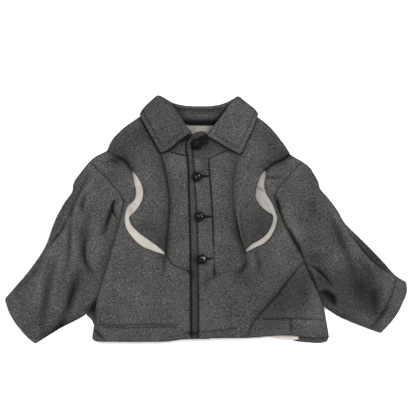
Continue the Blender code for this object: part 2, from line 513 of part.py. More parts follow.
def body_top(flat, side):
    """Top of the body under a sleeve: zero well outside its side edge."""
    apart, _, which = nearest(side, flat)
    within = apart * which
    edge = 2 * CLOTH + SEAM_GAP + LAYER_GAP
    outside_edge = edge * smooth(-0.016, 0.0, within)
    return np.where(within > 0, front_lie(flat) + CLOTH + LAYER_GAP, outside_edge)


def sleeve(side, out_run, in_run, armhole, cuff, side_run, turn, folds, on_body, droop):
    """A two-piece sleeve: a flattened tube from the armhole to the cuff.

    on_body is the share of its length over which it lies on the body, and droop the share of its
    height that it loses towards its inner edge.
    """
    rows = 25
    flat = patch(curve(out_run, rows), curve(in_run, rows), armhole, curve(cuff, ACROSS), ACROSS)
    share = np.linspace(0, 1, rows)[:, None]
    edge_run = curve(side_run, 36)[::turn]
    floor = body_top(flat, edge_run) * (1 - smooth(on_body - 0.1, on_body, share))
    rise = np.interp(share, *np.transpose(SLEEVE_RISE)) * (1 - droop * smooth(0.45, 1.0, ACROSS))
    top = floor + rise - fold_depth(folds, flat)
    at_seam = 1 - smooth(0.0, 0.16, share)
    top = at_seam * (front_lie(flat) + CLOTH) + (1 - at_seam) * top
    edge = floor[:, :1] + (floor[:, -1:] - floor[:, :1]) * smooth(0.4, 0.9, ACROSS) + SLEEVE_EDGE
    top = np.maximum(top, np.maximum(floor + 3 * CLOTH, edge + CLOTH))
    bulge = 1 - np.abs(2 * ACROSS - 1) ** 2.6
    over = edge + (top - edge) * bulge ** (1 / 2.6)
    under = floor + SLEEVE_EDGE * (1 - (1 - np.abs(2 * ACROSS - 1) ** 8) ** (1 / 8))
    ring = np.concatenate([at_height(flat, over), at_height(flat, under)[:, -2:0:-1]], axis=1)
    across = np.gradient(flat, axis=1)
    across = across / np.linalg.norm(across, axis=-1)[..., None]
    across = np.concatenate([across, across[:, -2:0:-1]], axis=1)
    tangent = np.roll(ring, -1, axis=1) - np.roll(ring, 1, axis=1)
    forward = (tangent[..., :2] * across).sum(-1)
    rising = tangent[..., 2]
    length = np.hypot(forward, rising)[..., None]
    inward = np.concatenate([rising[..., None] * across, -forward[..., None]], axis=-1) / length
    inner = ring + CLOTH * inward
    seam = int(np.argmin(np.abs(ACROSS - SLEEVE_SEAM)))
    last = len(ACROSS) - 1
    count = ring.shape[1]
    to_inner = np.concatenate([across[:, seam], np.zeros((rows, 1))], axis=1) * SEAM_GAP / 2
    upward = np.array([0.0, 0.0, SEAM_GAP / 2])
    pieces = {"top_sleeve_": (list(range(seam, last + 1)), to_inner, upward),
              "under_sleeve_": ([k % count for k in range(last, count + seam + 1)], -upward, -to_inner)}
    for name, (columns, first_shift, last_shift) in pieces.items():
        skins = []
        for skin in (inner[:, columns], ring[:, columns]):
            skin[:, 0] += first_shift
            skin[:, -1] += last_shift
            step = skin[1] - skin[0]
            skin[0] += 0.7 * SEAM_GAP * step / np.linalg.norm(step, axis=-1)[..., None]
            skins.append(skin)
        wall(name + side, skins[0], skins[1])


# Sleeves, right and left
sleeve("right", SLEEVE_OUT_R, SLEEVE_IN_R, armhole_right, CUFF_R, SIDE_R, 1, SLEEVE_FOLDS_R, 0.16, 0.5)
sleeve("left", SLEEVE_OUT_L, SLEEVE_IN_L, armhole_left, CUFF_L, SIDE_L + FLANK_L[1:], -1, SLEEVE_FOLDS_L,
       0.48, 0.25)

# Lining that shows: in the curved slits, at the back of the neck and below the left hem
LINING_TUCK = 0.0025
LINING_DROP = 0.0011
for side, slit_in, slit_out, height in (("right", SLIT_IN_R, SLIT_OUT_R, front_lie),
                                        ("left", SLIT_IN_L, SLIT_OUT_L, left_lie)):
    one = curve(slit_in, 34)
    other = curve(slit_out, 34)
    flat = patch(one, other, line(one[0], other[0] + 1e-4, 4), line(one[-1], other[-1], 4))
    run = np.gradient((one + other) / 2, axis=0)
    square = np.stack([-run[:, 1], run[:, 0]], axis=1) / np.linalg.norm(run, axis=1)[:, None]
    away = np.sign((square * (one - other)).sum(1).sum())
    flat[:, 0] += away * LINING_TUCK * square
    flat[:, -1] -= away * LINING_TUCK * square
    flat[:, 1] = flat[:, 0] + (flat[:, -1] - flat[:, 0]) / 3
    flat[:, 2] = flat[:, 0] + (flat[:, -1] - flat[:, 0]) * 2 / 3
    low = height(flat) - LINING_DROP - LINING
    wall("lining_slit_" + side, at_height(flat, low), at_height(flat, low + LINING), LINING_CREAM)
LINING_LOW = CLOTH + SEAM_GAP
neck_top = curve([(-0.070, 0.255), (-0.021, 0.2535), (0.030, 0.255)], 7)
neck_low = neck_top + (0.0, -0.045)
flat = patch(line(neck_top[0], neck_low[0], 3), line(neck_top[-1], neck_low[-1], 3), neck_top, neck_low)
panel("lining_neck", flat, lambda f: np.full(f.shape[:-1], LINING_LOW), LINING, LINING_CREAM)
hem_low = curve([(0.145, -0.2995), (0.160, -0.3025), (0.219, -0.3105), (0.238, -0.3085)], 9)
hem_top = hem_low + (0.0, 0.028)
flat = patch(line(hem_top[0], hem_low[0], 3), line(hem_top[-1], hem_low[-1], 3), hem_top, hem_low)
panel("lining_hem", flat, lambda f: np.full(f.shape[:-1], LINING_LOW), LINING, LINING_CREAM)

# Back panel: flat on the surface, under everything else
neck_to_side = [curve(NECK_BACK, 12), curve(SHOULDER_L, 10)[::-1], curve(CAP_TOP_L, 4), armhole_left]
sides = [curve(SIDE_L, 8), curve(FLANK_L, 8), curve(HEM_BACK, 26)]
flank_right = [line(SIDE_R[-1], FLANK_R[0], 3), curve(FLANK_R, 7)]
side_to_shoulder = [curve(SIDE_R[:9], 20)[::-1], armhole_right[::-1], curve(CAP_TOP_R, 4)[::-1]]
outline = np.concatenate([run[:-1] for run in neck_to_side + sides + flank_right + side_to_shoulder
                          + [curve(SHOULDER_R, 10)]])
ahead = np.roll(outline, -1, axis=0) - np.roll(outline, 1, axis=0)
inward = np.stack([ahead[:, 1], -ahead[:, 0]], axis=1) / np.linalg.norm(ahead, axis=1)[:, None]
outline = outline + inward * SEAM_GAP / 2
builder = bmesh.new()
face = builder.faces.new([builder.verts.new((x, y, 0.0)) for x, y in outline])
lifted = bmesh.ops.extrude_face_region(builder, geom=[face])
upper = [item for item in lifted["geom"] if isinstance(item, bmesh.types.BMVert)]
bmesh.ops.translate(builder, vec=(0.0, 0.0, CLOTH), verts=upper)
bmesh.ops.triangulate(builder, faces=builder.faces)
add_object("back_panel", builder, WOOL)

# Buttons: knotted domes on short shanks, sewn to the closing
BUTTON_PROFILE = [(0.0, 0.0), (0.20, 0.0), (0.20, 0.18), (0.42, 0.20), (0.50, 0.45), (0.46, 0.72),
                  (0.30, 0.93), (0.0, 1.0)]       # share of the width, share of the height
SEAT_ROUND = [(0.3 * BUTTON_WIDTH * math.cos(a), 0.3 * BUTTON_WIDTH * math.sin(a))
              for a in np.linspace(0, 2 * math.pi, 9)]
for number, (x, y) in enumerate(BUTTONS, 1):
    seat = closing_lie(np.array([SEAT_ROUND]) + (x, y)).max() + CLOTH + SEAM_GAP
    builder = bmesh.new()
    profile = [builder.verts.new((x + out * BUTTON_WIDTH, y, seat + up * BUTTON_HEIGHT))
               for out, up in BUTTON_PROFILE]
    edges = [builder.edges.new(pair) for pair in zip(profile, profile[1:])]
    bmesh.ops.spin(builder, geom=profile + edges, cent=(x, y, seat), axis=(0, 0, 1),
                   angle=2 * math.pi, steps=16)
    bmesh.ops.remove_doubles(builder, verts=builder.verts, dist=1e-6)
    add_object("button_%d" % number, builder, LEATHER, 0.35)
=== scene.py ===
import math
from collections import namedtuple

import bmesh
import bpy
import numpy as np
from mathutils import Matrix, Vector
from mathutils.bvhtree import BVHTree


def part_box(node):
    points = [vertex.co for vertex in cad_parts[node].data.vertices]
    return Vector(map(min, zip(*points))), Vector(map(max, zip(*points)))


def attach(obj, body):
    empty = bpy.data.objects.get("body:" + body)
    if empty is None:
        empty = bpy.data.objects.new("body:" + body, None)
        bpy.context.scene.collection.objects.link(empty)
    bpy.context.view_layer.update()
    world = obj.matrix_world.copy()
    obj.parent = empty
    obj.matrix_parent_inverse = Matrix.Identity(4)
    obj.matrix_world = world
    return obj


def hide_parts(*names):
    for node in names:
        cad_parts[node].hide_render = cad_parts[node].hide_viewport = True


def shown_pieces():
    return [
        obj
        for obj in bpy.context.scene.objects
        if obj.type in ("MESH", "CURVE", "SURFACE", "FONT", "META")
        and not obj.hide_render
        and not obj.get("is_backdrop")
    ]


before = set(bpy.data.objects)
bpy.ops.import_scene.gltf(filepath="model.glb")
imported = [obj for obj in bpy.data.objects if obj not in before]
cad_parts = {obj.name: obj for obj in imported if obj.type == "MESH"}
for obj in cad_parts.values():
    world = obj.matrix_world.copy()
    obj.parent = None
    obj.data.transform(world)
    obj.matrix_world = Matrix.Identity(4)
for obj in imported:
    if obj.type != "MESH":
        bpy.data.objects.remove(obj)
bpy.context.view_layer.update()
bpy.ops.object.select_all(action="DESELECT")


# Studio: a white table top seen from straight above. Two large soft lamps stand beyond the collar, one
# to each side, a weaker one before the hem, and one above, which alone is mirrored in the polished
# buttons. A white room fills the shadows.
PICTURE_SPAN = 1.0965       # metres of the table across the picture
PICTURE_MIDDLE = (0.0, 0.037)
CAMERA_HEIGHT = 3.0
SENSOR = 36.0
TABLE_SIZE = 9.0
TABLE_DROP = 0.0004         # from the underside of the cloth down to the table top
LAMP_SIZE = 1.0
ROOM_LIGHT = 0.30
Lamp = namedtuple("Lamp", "name place energy mirrored")
LAMPS = [Lamp("lamp_left", (-1.8, 1.3, 1.6), 66.0, False), Lamp("lamp_right", (1.7, 1.4, 1.7), 44.0, False),
         Lamp("lamp_front", (-0.3, -1.9, 1.7), 28.0, False), Lamp("lamp_top", (1.0, 0.5, 2.3), 54.0, True)]
bpy.ops.mesh.primitive_plane_add(size=TABLE_SIZE, location=(0.0, 0.0, -TABLE_DROP))
table_top = bpy.context.object
table_top.name = "table_top"
white = bpy.data.materials.new("white_table")
white.use_nodes = True
paint = white.node_tree.nodes["Principled BSDF"].inputs
paint["Base Color"].default_value = (0.93, 0.93, 0.93, 1.0)
paint["Roughness"].default_value = 0.9
table_top.data.materials.append(white)
table_top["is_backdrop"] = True

for row in LAMPS:
    bpy.ops.object.light_add(type="AREA", location=row.place)
    lamp = bpy.context.object
    lamp.name = row.name
    lamp.data.size = LAMP_SIZE
    lamp.data.energy = row.energy
    lamp.visible_glossy = row.mirrored
    lamp.rotation_euler = (-lamp.location).to_track_quat("-Z", "Y").to_euler()

room = bpy.data.worlds.new("white_room")
room.use_nodes = True
room.node_tree.nodes["Background"].inputs["Color"].default_value = (1.0, 1.0, 1.0, 1.0)
room.node_tree.nodes["Background"].inputs["Strength"].default_value = ROOM_LIGHT
bpy.context.scene.world = room
bpy.context.scene.view_settings.view_transform = "Standard"

bpy.ops.object.camera_add(location=(*PICTURE_MIDDLE, CAMERA_HEIGHT))
camera = bpy.context.object
camera.data.sensor_width = SENSOR
camera.data.lens = SENSOR * CAMERA_HEIGHT / PICTURE_SPAN
bpy.context.scene.camera = camera


# Back panel: one piece of thick felted wool that lies flat on the table under all the rest. It shows
# only as a strip below the left hem and as a corner beside the right one.
CLOTH = 0.003               # thickness of the felted wool
SEAM_GAP = 0.0003           # air between two pieces at a seam
# Insets and heights of the back panel's rounded rim
RIM_ROUND = [(0.0012, 0.0), (0.0003, 0.0006), (0.0, 0.0014), (0.0003, 0.0022), (0.0012, CLOTH)]
CORNER = (-0.28, -0.247)    # x where the corner beside the right hem begins, y above which a sleeve's shade is painted on it
CORNER_SHADE = 0.9          # how dark that painted shade is
CORNER_PALE = 0.15          # share of that left in the open
CORNER_FADE = 0.014         # height over which the one goes over to the other


def mm(*values, columns=2):
    """Points from a row of numbers in millimetres, x and y in turn."""
    return [tuple(value / 1000 for value in values[k:k + columns]) for k in range(0, len(values), columns)]


# Outlines as the garment lies, each along one edge; the ending says which side of the wearer
SHOULDER_R = mm(-265, 188, -254.5, 212.5, -232.5, 238.5, -178.5, 278, -153, 294)
CAP_TOP_R = mm(-265, 188, -277.5, 182, -297, 172, -311.5, 159.5)
ARMHOLE_R = mm(-311.5, 159.5, -266.5, 116, -245.5, 91, -229.5, 71.5, -222, 55.5)
SIDE_R = mm(-222, 55.5, -226.5, 35, -231, 14.5, -238, -14.5, -247.5, -47.5, -255, -74, -269.5, -126.5,
            -286.5, -179.5, -293, -206, -296.5, -237.5, -300, -272, -304.5, -300.5)
FLANK_R = mm(-300, -272, -307, -257.5, -319.5, -242, -312.2, -234.6, -305, -227.6, -299.6, -217.5,
             -295, -208.5)
SHOULDER_L = mm(216.5, 178.5, 209, 192, 192.5, 215, 153.5, 259.5, 134, 274, 105.5, 294)
CAP_TOP_L = mm(216.5, 178.5, 228.5, 170.5, 240.5, 164, 248.5, 159)
ARMHOLE_L = mm(248.5, 159, 224.5, 134.5, 200.5, 107, 183.5, 86.5, 175.5, 68.5)
SIDE_L = mm(175.5, 68.5, 180, 50, 186.5, 33, 205.5, 0, 227.5, -37, 245, -74.5, 254.5, -103)
FLANK_L = mm(254.5, -103, 266.5, -136.5, 278.5, -163.5, 294, -196.5, 303, -218.5, 311, -256, 318.5, -302)
NECK_BACK = mm(-153, 294, -113.5, 276, -74, 264, -21, 260.5, 26.5, 264, 71.5, 277, 105.5, 294)
HEM_BACK = mm(318.5, -302, 317, -311.5, 301, -318.5, 269.5, -317.5, 235, -314.5, 216.5, -309.5, 158.5, -301,
              84.5, -298.5, -21, -299.5, -100.5, -307.5, -206, -311, -290.5, -309.5, -304.5, -300.5)


class Shade:
    """One output of a material's nodes; sums and products of them add the Math nodes."""

    def __init__(self, tree, socket=None):
        self.tree = tree
        self.socket = socket

    def fill(self, made, inputs):
        """Links or fills the sockets of a node."""
        for key, value in inputs.items():
            if isinstance(value, Shade):
                self.tree.links.new(value.socket, made.inputs[key])
            else:
                made.inputs[key].default_value = value

    def node(self, kind, settings, inputs, output=0):
        """Adds a node, sets it up, links or fills its sockets, and gives one of its outputs."""
        made = self.tree.nodes.new(kind)
        for key, value in settings.items():
            if key == "stops":
                for place, colour in value[1:-1]:
                    made.color_ramp.elements.new(place).color = (*colour, 1.0)
                for end, (place, colour) in ((0, value[0]), (-1, value[-1])):
                    made.color_ramp.elements[end].position = place
                    made.color_ramp.elements[end].color = (*colour, 1.0)
            else:
                setattr(made, key, value)
        self.fill(made, inputs)
        return Shade(self.tree, made.outputs[output])

    def noise(self, scale, detail, roughness=0.5):
        """Soft noise at the place that this output gives."""
        return self.node("ShaderNodeTexNoise", {}, {"Vector": self, "Scale": scale, "Detail": detail,
                                                    "Roughness": roughness})

    def ramp(self, *stops):
        """A colour for this value, between stops."""
        return self.node("ShaderNodeValToRGB", {"stops": stops}, {"Fac": self})

    def bump(self, strength, distance):
        """A normal that follows this value as a height."""
        return self.node("ShaderNodeBump", {}, {"Strength": strength, "Distance": distance, "Height": self})

    def in_painted_shades(self, dark):
        """This colour, going over to a dark one where painted shade is laid on the piece."""
        hollow = self.node("ShaderNodeAttribute", {"attribute_name": "hollow"}, {}, "Fac")
        return self.node("ShaderNodeMix", {"data_type": "RGBA"}, {0: hollow, 6: self, 7: (*dark, 1.0)}, 2)

    def math(self, operation, one, other):
        return self.node("ShaderNodeMath", {"operation": operation}, {0: one, 1: other})

    def __add__(self, other):
        return self.math("ADD", self, other)

    def __sub__(self, other):
        return self.math("SUBTRACT", self, other)

    def __rsub__(self, other):
        return self.math("SUBTRACT", other, self)

    def __mul__(self, other):
        return self.math("MULTIPLY", self, other)

    __radd__ = __add__
    __rmul__ = __mul__


def new_finish(name):
    """A material, its Principled shader, and the place on a piece by which its patterns go."""
    finish = bpy.data.materials.new(name)
    finish.use_nodes = True
    place = Shade(finish.node_tree).node("ShaderNodeTexCoord", {}, {}, "Object")
    return finish, finish.node_tree.nodes["Principled BSDF"], place


def wool(name):
    """Felted grey wool: flecks of pale and dark fibre on a mid grey, with a soft uneven nap, darkened where
    painted shade lies on a piece.
    """
    finish, shader, place = new_finish(name)
    fleck, fibre, cloud = place.noise(460.0, 2.0, 0.6), place.noise(1300.0, 2.0), place.noise(14.0, 2.0)
    mixed = fleck * 0.72 + fibre * 0.28 + (cloud - 0.5) * 0.08
    flecked = mixed.ramp((0.40, (0.0165, 0.0162, 0.0160)), (0.50, (0.0430, 0.0424, 0.0417)),
                         (0.618, (0.1215, 0.1196, 0.1172)))
    place.fill(shader, {"Base Color": flecked.in_painted_shades((0.0035, 0.0035, 0.0036)),
                        "Normal": (fleck * 0.5 + fibre * 0.5).bump(0.55, 0.0009), "Roughness": 0.95,
                        "Specular IOR Level": 0.02, "Sheen Weight": 0.04, "Sheen Roughness": 0.5})
    return finish


def square_to(ahead):
    """Unit vectors on the right-hand side of some directions."""
    return np.stack([ahead[:, 1], -ahead[:, 0]], axis=1) / np.linalg.norm(ahead, axis=1)[:, None]


def even(path, shares):
    """Points of a path at the given shares of its length."""
    path = np.asarray(path, float)
    run = np.concatenate([[0.0], np.cumsum(np.linalg.norm(np.diff(path, axis=0), axis=1))])
    return np.stack([np.interp(shares * run[-1], run, column) for column in path.T], axis=1)


def curve(points, shares):
    """Points of a smooth curve through the given ones; shares is a count or a list of shares."""
    p = np.asarray(points, float)
    shares = np.linspace(0, 1, shares) if np.isscalar(shares) else shares
    t = np.concatenate([[0.0], np.cumsum(np.linalg.norm(np.diff(p, axis=0), axis=1))])
    slope = np.gradient(p, t, axis=0)
    fine = np.linspace(0, t[-1], 24 * len(p))
    k = np.clip(np.searchsorted(t, fine, side="right") - 1, 0, len(t) - 2)
    span = (t[k + 1] - t[k])[:, None]
    s = (fine - t[k])[:, None] / span
    path = ((2 * s**3 - 3 * s**2 + 1) * p[k] + (s**3 - 2 * s**2 + s) * span * slope[k]
            + (3 * s**2 - 2 * s**3) * p[k + 1] + (s**3 - s**2) * span * slope[k + 1])
    return even(path, shares)


def add_piece(name, points, faces, finish, nodes, hollow=None):
    """A finished mesh as a piece that rides with the garment and stands for CAD nodes."""
    mesh = bpy.data.meshes.new(name)
    mesh.from_pydata(np.array(points).tolist(), [], faces)
    # The painted shade of each point, by which the finish darkens its colour
    if hollow is not None:
        mesh.attributes.new("hollow", "FLOAT", "POINT").data.foreach_set("value", hollow)
    builder = bmesh.new()
    builder.from_mesh(mesh)
    bmesh.ops.triangulate(builder, faces=[face for face in builder.faces if len(face.verts) > 4])
    bmesh.ops.recalc_face_normals(builder, faces=builder.faces)
    builder.to_mesh(mesh)
    builder.free()
    mesh.shade_smooth()
    mesh.materials.append(finish)
    piece = bpy.data.objects.new(name, mesh)
    bpy.context.collection.objects.link(piece)
    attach(piece, "root")
    if nodes:
        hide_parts(*nodes)
    return piece


wool_cloth = wool("felted_wool")
outline = np.concatenate([curve(run, 48)[:-1] for run in (
    NECK_BACK, SHOULDER_L[::-1], CAP_TOP_L, ARMHOLE_L, SIDE_L, FLANK_L, HEM_BACK, FLANK_R,
    SIDE_R[7::-1], ARMHOLE_R[::-1], CAP_TOP_R[::-1], SHOULDER_R)])
inward = square_to(np.roll(outline, -1, axis=0) - np.roll(outline, 1, axis=0))
count = len(outline)
points = np.concatenate([np.column_stack([outline + (SEAM_GAP / 2 + inset) * inward, np.full(count, height)])
                         for inset, height in RIM_ROUND])
number = np.arange(count)
ahead = np.roll(number, -1)
ring = np.stack([number, ahead, ahead + count, number + count], axis=1)
rings = len(RIM_ROUND) - 1
faces = [side for k in range(rings) for side in (ring + k * count).tolist()]
faces += [number.tolist(), (number + rings * count).tolist()]
# Painted shade of the right sleeve on the corner of the back beside the right hem
under_arm = np.clip((points[:, 1] - CORNER[1]) / CORNER_FADE, CORNER_PALE, 1)
under_arm = CORNER_SHADE * (points[:, 0] < CORNER[0]) * under_arm
back = add_piece("back", points, faces, wool_cloth, ["back_panel"], under_arm)


# Fronts: two bibs beside the closing, two side fronts from the shoulders, two outer fronts round the
# curved slits and a side panel, all of felted wool joined by soft seams, and lying over the back.
LAYER_GAP = 0.0008          # air between a layer and what lies on it
BODY_RISE = 0.011           # hollow between the back and the fronts
EDGE_ROLL = 0.026           # width over which a front turns down to its side or shoulder
UNDERARM_ROLL = 0.3         # share of that width at the underarm, and all along the right side
UNDERARM_END = 0.35         # share of the left side over which it comes to its full width
SEAM_SPREAD = 0.0065        # half width of the cloth's dip along a seam
LAP = CLOTH + LAYER_GAP     # step from the right front up to the left front that closes over it
LAP_END = (0.020, 0.070)    # x where that step begins to sink away, and where it is gone
SEAM_BED_SPREAD = 0.017     # half width of a seam's wider bed
SEAM_REACH = 3.6            # half widths of that bed beyond which it isn't felt
SEAM_LEAN = 0.3             # how much further a leaning bed reaches on one side
RIM = np.array([0.00015, 0.0005, 0.0011, 0.0019, 0.0032, 0.0050])      # rows of points beside a rim
RIM_SHARE = 0.3             # the most of a panel's width that these rows take
RIM_ROUND_WIDTH = 0.0045    # how far in from its rim a panel's face rounds off
THIN_ROUND = 1.5            # the most that this may be, in thicknesses of the cloth
FOLDED_ROUND = 0.6          # how far in a folded rim rounds off, in thicknesses
FOLDED_MEET = 0.5           # share of the thickness at which a folded rim's two faces meet
EDGE_FADE = 4               # how soon the shape of a panel's top or bottom edge fades into it
CAP_SEAM_R = mm(-265, 188, -237.5, 169.5, -214, 156, -198, 135)
SLIT_IN_R = mm(-198, 135, -183.5, 116.5, -173.5, 97.5, -169.5, 77.5, -172.5, 58.5, -182, 40, -195, 24,
               -206.2, 13.5, -203, -2, -185, -23.8, -158.5, -44, -134.5, -61, -114, -79.5)
SLIT_OUT_R = mm(-198, 135, -197, 121.5, -192.5, 100.3, -189.2, 80, -191.8, 62, -201, 50.5, -209, 44,
                -215.2, 31, -218.5, 9.5, -214.5, -16, -200, -38, -177, -60.5, -148, -74, -112.5, -85.8)
PRINCESS_R = mm(-126.5, 183.5, -118, 150.5, -109.5, 116, -103.5, 79, -101.5, 45, -104, 0, -107.5, -42,
                -111, -84)
NECK_R = mm(-153, 294, -142.5, 256, -133.5, 216.5, -126.5, 183.5)
BIB_TOP_R = mm(-126.5, 183.5, -105.5, 184.5, -79, 178.5, -54, 171.5)
BIB_HEM_R = mm(-111, -84, -96.5, -105.5, -72.5, -122, -46, -132)
HEM_R = mm(-304.4, -300.4, -302, -307.8, -295.2, -312, -279.8, -313.4, -245.5, -313.9, -153.1, -313.9,
           -100.6, -312.6, -73.9, -308.6, -44.9, -306.5)
CAP_SEAM_L = mm(216.5, 178.5, 192.5, 162, 169, 151, 150, 136)
SLIT_IN_L = mm(150, 136, 139, 122, 131, 103.5, 126.6, 84.5, 124.8, 65, 133.3, 48.8, 145.2, 35.6,
               158.4, 26.4, 169.8, 18, 170.6, 5.3, 164.5, -14, 154, -31, 138.6, -44.4, 117.5, -56.5,
               99, -72.5)
SLIT_OUT_L = mm(150, 136, 152.6, 122.5, 148.2, 106, 148.4, 90.5, 154.5, 72.5, 164, 57, 171.5, 44,
                177.5, 27.5, 181.6, 11.5, 179.5, -4, 172.5, -24, 160.5, -42.5, 144.5, -57, 124.5, -66,
                100, -78.5)
PRINCESS_L = mm(80.5, 181, 71.5, 148, 66, 108, 65, 66, 68.5, 29, 78, -13, 88, -47.5, 96.5, -78)
NECK_L = mm(105.5, 294, 96.5, 253.5, 87, 214, 80.5, 181)
BIB_TOP_L = mm(2, 165, 26.5, 176.5, 55.5, 188, 80.5, 181)
BIB_HEM_L = mm(96.5, -78, 101, -97.5, 96.5, -117.5, 83, -130, 55.5, -130, 16.5, -143.5)
SLANT_L = mm(254.5, -103, 247.5, -110, 232.5, -126.5, 208.5, -156, 185, -187.5, 140, -237.5, 121.5, -260,
             108, -285, 101.5, -304)
HEM_L = mm(-25, -306, 31.5, -304, 101.5, -304)
HEM_FLANK_L = mm(101.5, -304, 132, -302, 195.5, -297, 235, -299, 274.5, -304, 318.5, -302)
EDGE_LEFT = mm(-5.8, 234.4, -15.8, 237.6, -30.4, 234.2, -43.6, 226.2, -52, 215.2, -57.3, 202, -57.6, 188.8,
               -54, 171.5)
TAB_END = mm(-5.8, 234.4, -4, 230.2, -5.8, 226)
TAB_LOW = mm(-5.8, 226, -13.7, 222.8, -22.4, 220.4)
EDGE_RIGHT = mm(-22.4, 220.4, -30.1, 214.9, -35.9, 206.4, -39.3, 196.7, -40.4, 184.8, -38.5, 168)
EDGE_RIGHT_BAND = mm(-38.5, 168, -34, 100.5, -30, 42, -27, -47.5, -24.5, -169)
BAND_TOP = mm(-38.5, 168, -18.5, 165, 2, 165)
EDGE_LEFT_BIB = mm(-54, 171.5, -51.5, 132, -49.5, 58, -47, -34.5, -46, -132)
EDGE_LEFT_LOW = mm(-46, -132, -45, -219, -45, -306.5)
EDGE_RIGHT_LOW = mm(-24.5, -169, -24.5, -240, -25, -306)
BAND_RIGHT = mm(2, 165, 4, 124, 8.5, 71.5, 11.5, 18.5, 14.5, -60.5, 16.5, -143.5)
BAND_HEM = mm(-24.5, -169, -5.5, -157, 16.5, -143.5)
LEAF_EDGE_R = mm(-124.5, 180.5, -139, 206.5, -153.5, 233, -167.5, 258, -177.2, 277, -179, 285.5)
LEAF_EDGE_L = mm(86, 177, 103, 214, 118.5, 248, 133, 284.5)
LEAF_LOW_R = mm(-41.5, 234.5, -57.5, 225, -78, 210.5, -94, 196.5, -108, 187, -124.5, 180.5)
LEAF_LOW_L = mm(-2.5, 223.5, 26.5, 208.5, 58, 190, 86, 177)

# Folds run along a path and fade to its ends; a trough has a positive depth and a ridge a negative one
Fold = namedtuple("Fold", "path width depth")
Puff = namedtuple("Puff", "x y reach_x reach_y height")
Ripple = namedtuple("Ripple", "turn wave start height")


def folds(*rows):
    """Folds from rows of a width, a depth and then the points of a path, all in millimetres."""
    return [Fold(mm(*path), width / 1000, depth / 1000) for width, depth, *path in rows]


def shades(*rows):
    """Painted half shades from the like rows, with a share of darkness in place of the depth; a negative one
    is a painted highlight.
    """
    return [Fold(mm(*path), width / 1000, dark) for width, dark, *path in rows]


# A seam has a narrow dip in a wider bed and leaves a share of the cloth's thickness at its rim. Painted shade
# lies dark along its line, with a wider painted shade that leans to one side
Seam = namedtuple("Seam", "run dip bed rim dark width shade lean")
Line = namedtuple("Line", "run dark width")
SEAMS = [
    Seam(CAP_SEAM_R, 0.0022, 0.0032, 0.40, 0.14, 0.0045, 0.24, 1),
    Seam(PRINCESS_R, 0.0026, 0.0052, 0.30, 0.34, 0.0040, 0.27, -1),
    Seam(BIB_HEM_R, 0.0012, 0.0010, 0.60, 0.42, 0.0027, 0.08, 0),
    Seam(ARMHOLE_R, 0.0010, 0.0004, 0.50, 0.40, 0.0024, 0.04, 0),
    Seam(CAP_SEAM_L, 0.0026, 0.0036, 0.22, 0.50, 0.0040, 0.30, -1),
    Seam(PRINCESS_L, 0.0024, 0.0050, 0.55, 0.15, 0.0045, 0.24, -1),
    Seam(BIB_HEM_L, 0.0010, 0.0010, 0.85, 0.08, 0.0032, 0.05, 0),
    Seam(ARMHOLE_L, 0.0010, 0.0004, 0.50, 0.38, 0.0022, 0.03, 0),
    Seam(SLANT_L, 0.0014, 0.0012, 0.60, 0.30, 0.0034, 0.12, 1),
    Seam(BAND_TOP, 0.0, 0.0, 0.92, 0.04, 0.0030, 0.0, 0),
    Seam(BAND_HEM, 0.0, 0.0, 0.95, 0.02, 0.0030, 0.0, 0),
]
# Lines of painted shade: along the edges of the strip and band, painted shadows beside the collar leaves, and
# along the slits, hems and outline
LINES = [Line(*row) for row in (
    (EDGE_LEFT[3:], 0.66, 0.0032), (EDGE_LEFT[:4], 0.50, 0.0022), (TAB_END, 0.80, 0.0024),
    (TAB_LOW, 0.85, 0.0028), (EDGE_LEFT_BIB, 0.58, 0.0032), (EDGE_LEFT_LOW, 0.52, 0.0038),
    (EDGE_RIGHT, 0.40, 0.0030), (EDGE_RIGHT_BAND, 0.42, 0.0030), (EDGE_RIGHT_LOW, 0.46, 0.0032),
    (BAND_RIGHT[:5], 0.70, 0.0027), (BAND_RIGHT[4:], 0.30, 0.0030), (BIB_TOP_R, 0.42, 0.0026),
    (BIB_TOP_L, 0.32, 0.0024), (LEAF_EDGE_R, 0.80, 0.0056), (LEAF_EDGE_L, 0.60, 0.0044),
    (LEAF_LOW_R, 0.70, 0.0055), (LEAF_LOW_L, 0.62, 0.0048), (LEAF_EDGE_R, 0.24, 0.0160),
    (LEAF_EDGE_L, 0.14, 0.0120), (LEAF_LOW_R, 0.34, 0.0160), (LEAF_LOW_L, 0.34, 0.0150),
    (SLIT_OUT_R, 0.46, 0.0022), (SLIT_OUT_L, 0.50, 0.0022), (SLIT_IN_R, 0.44, 0.0026),
    (SLIT_IN_L, 0.46, 0.0026), (HEM_R, 0.56, 0.0030), (HEM_L, 0.56, 0.0030), (HEM_FLANK_L, 0.42, 0.0026),
    (SHOULDER_R, 0.34, 0.0026), (SHOULDER_L, 0.34, 0.0026), (CAP_TOP_R, 0.34, 0.0026),
    (CAP_TOP_L, 0.34, 0.0026), (FLANK_L[4:], 0.30, 0.0024))]
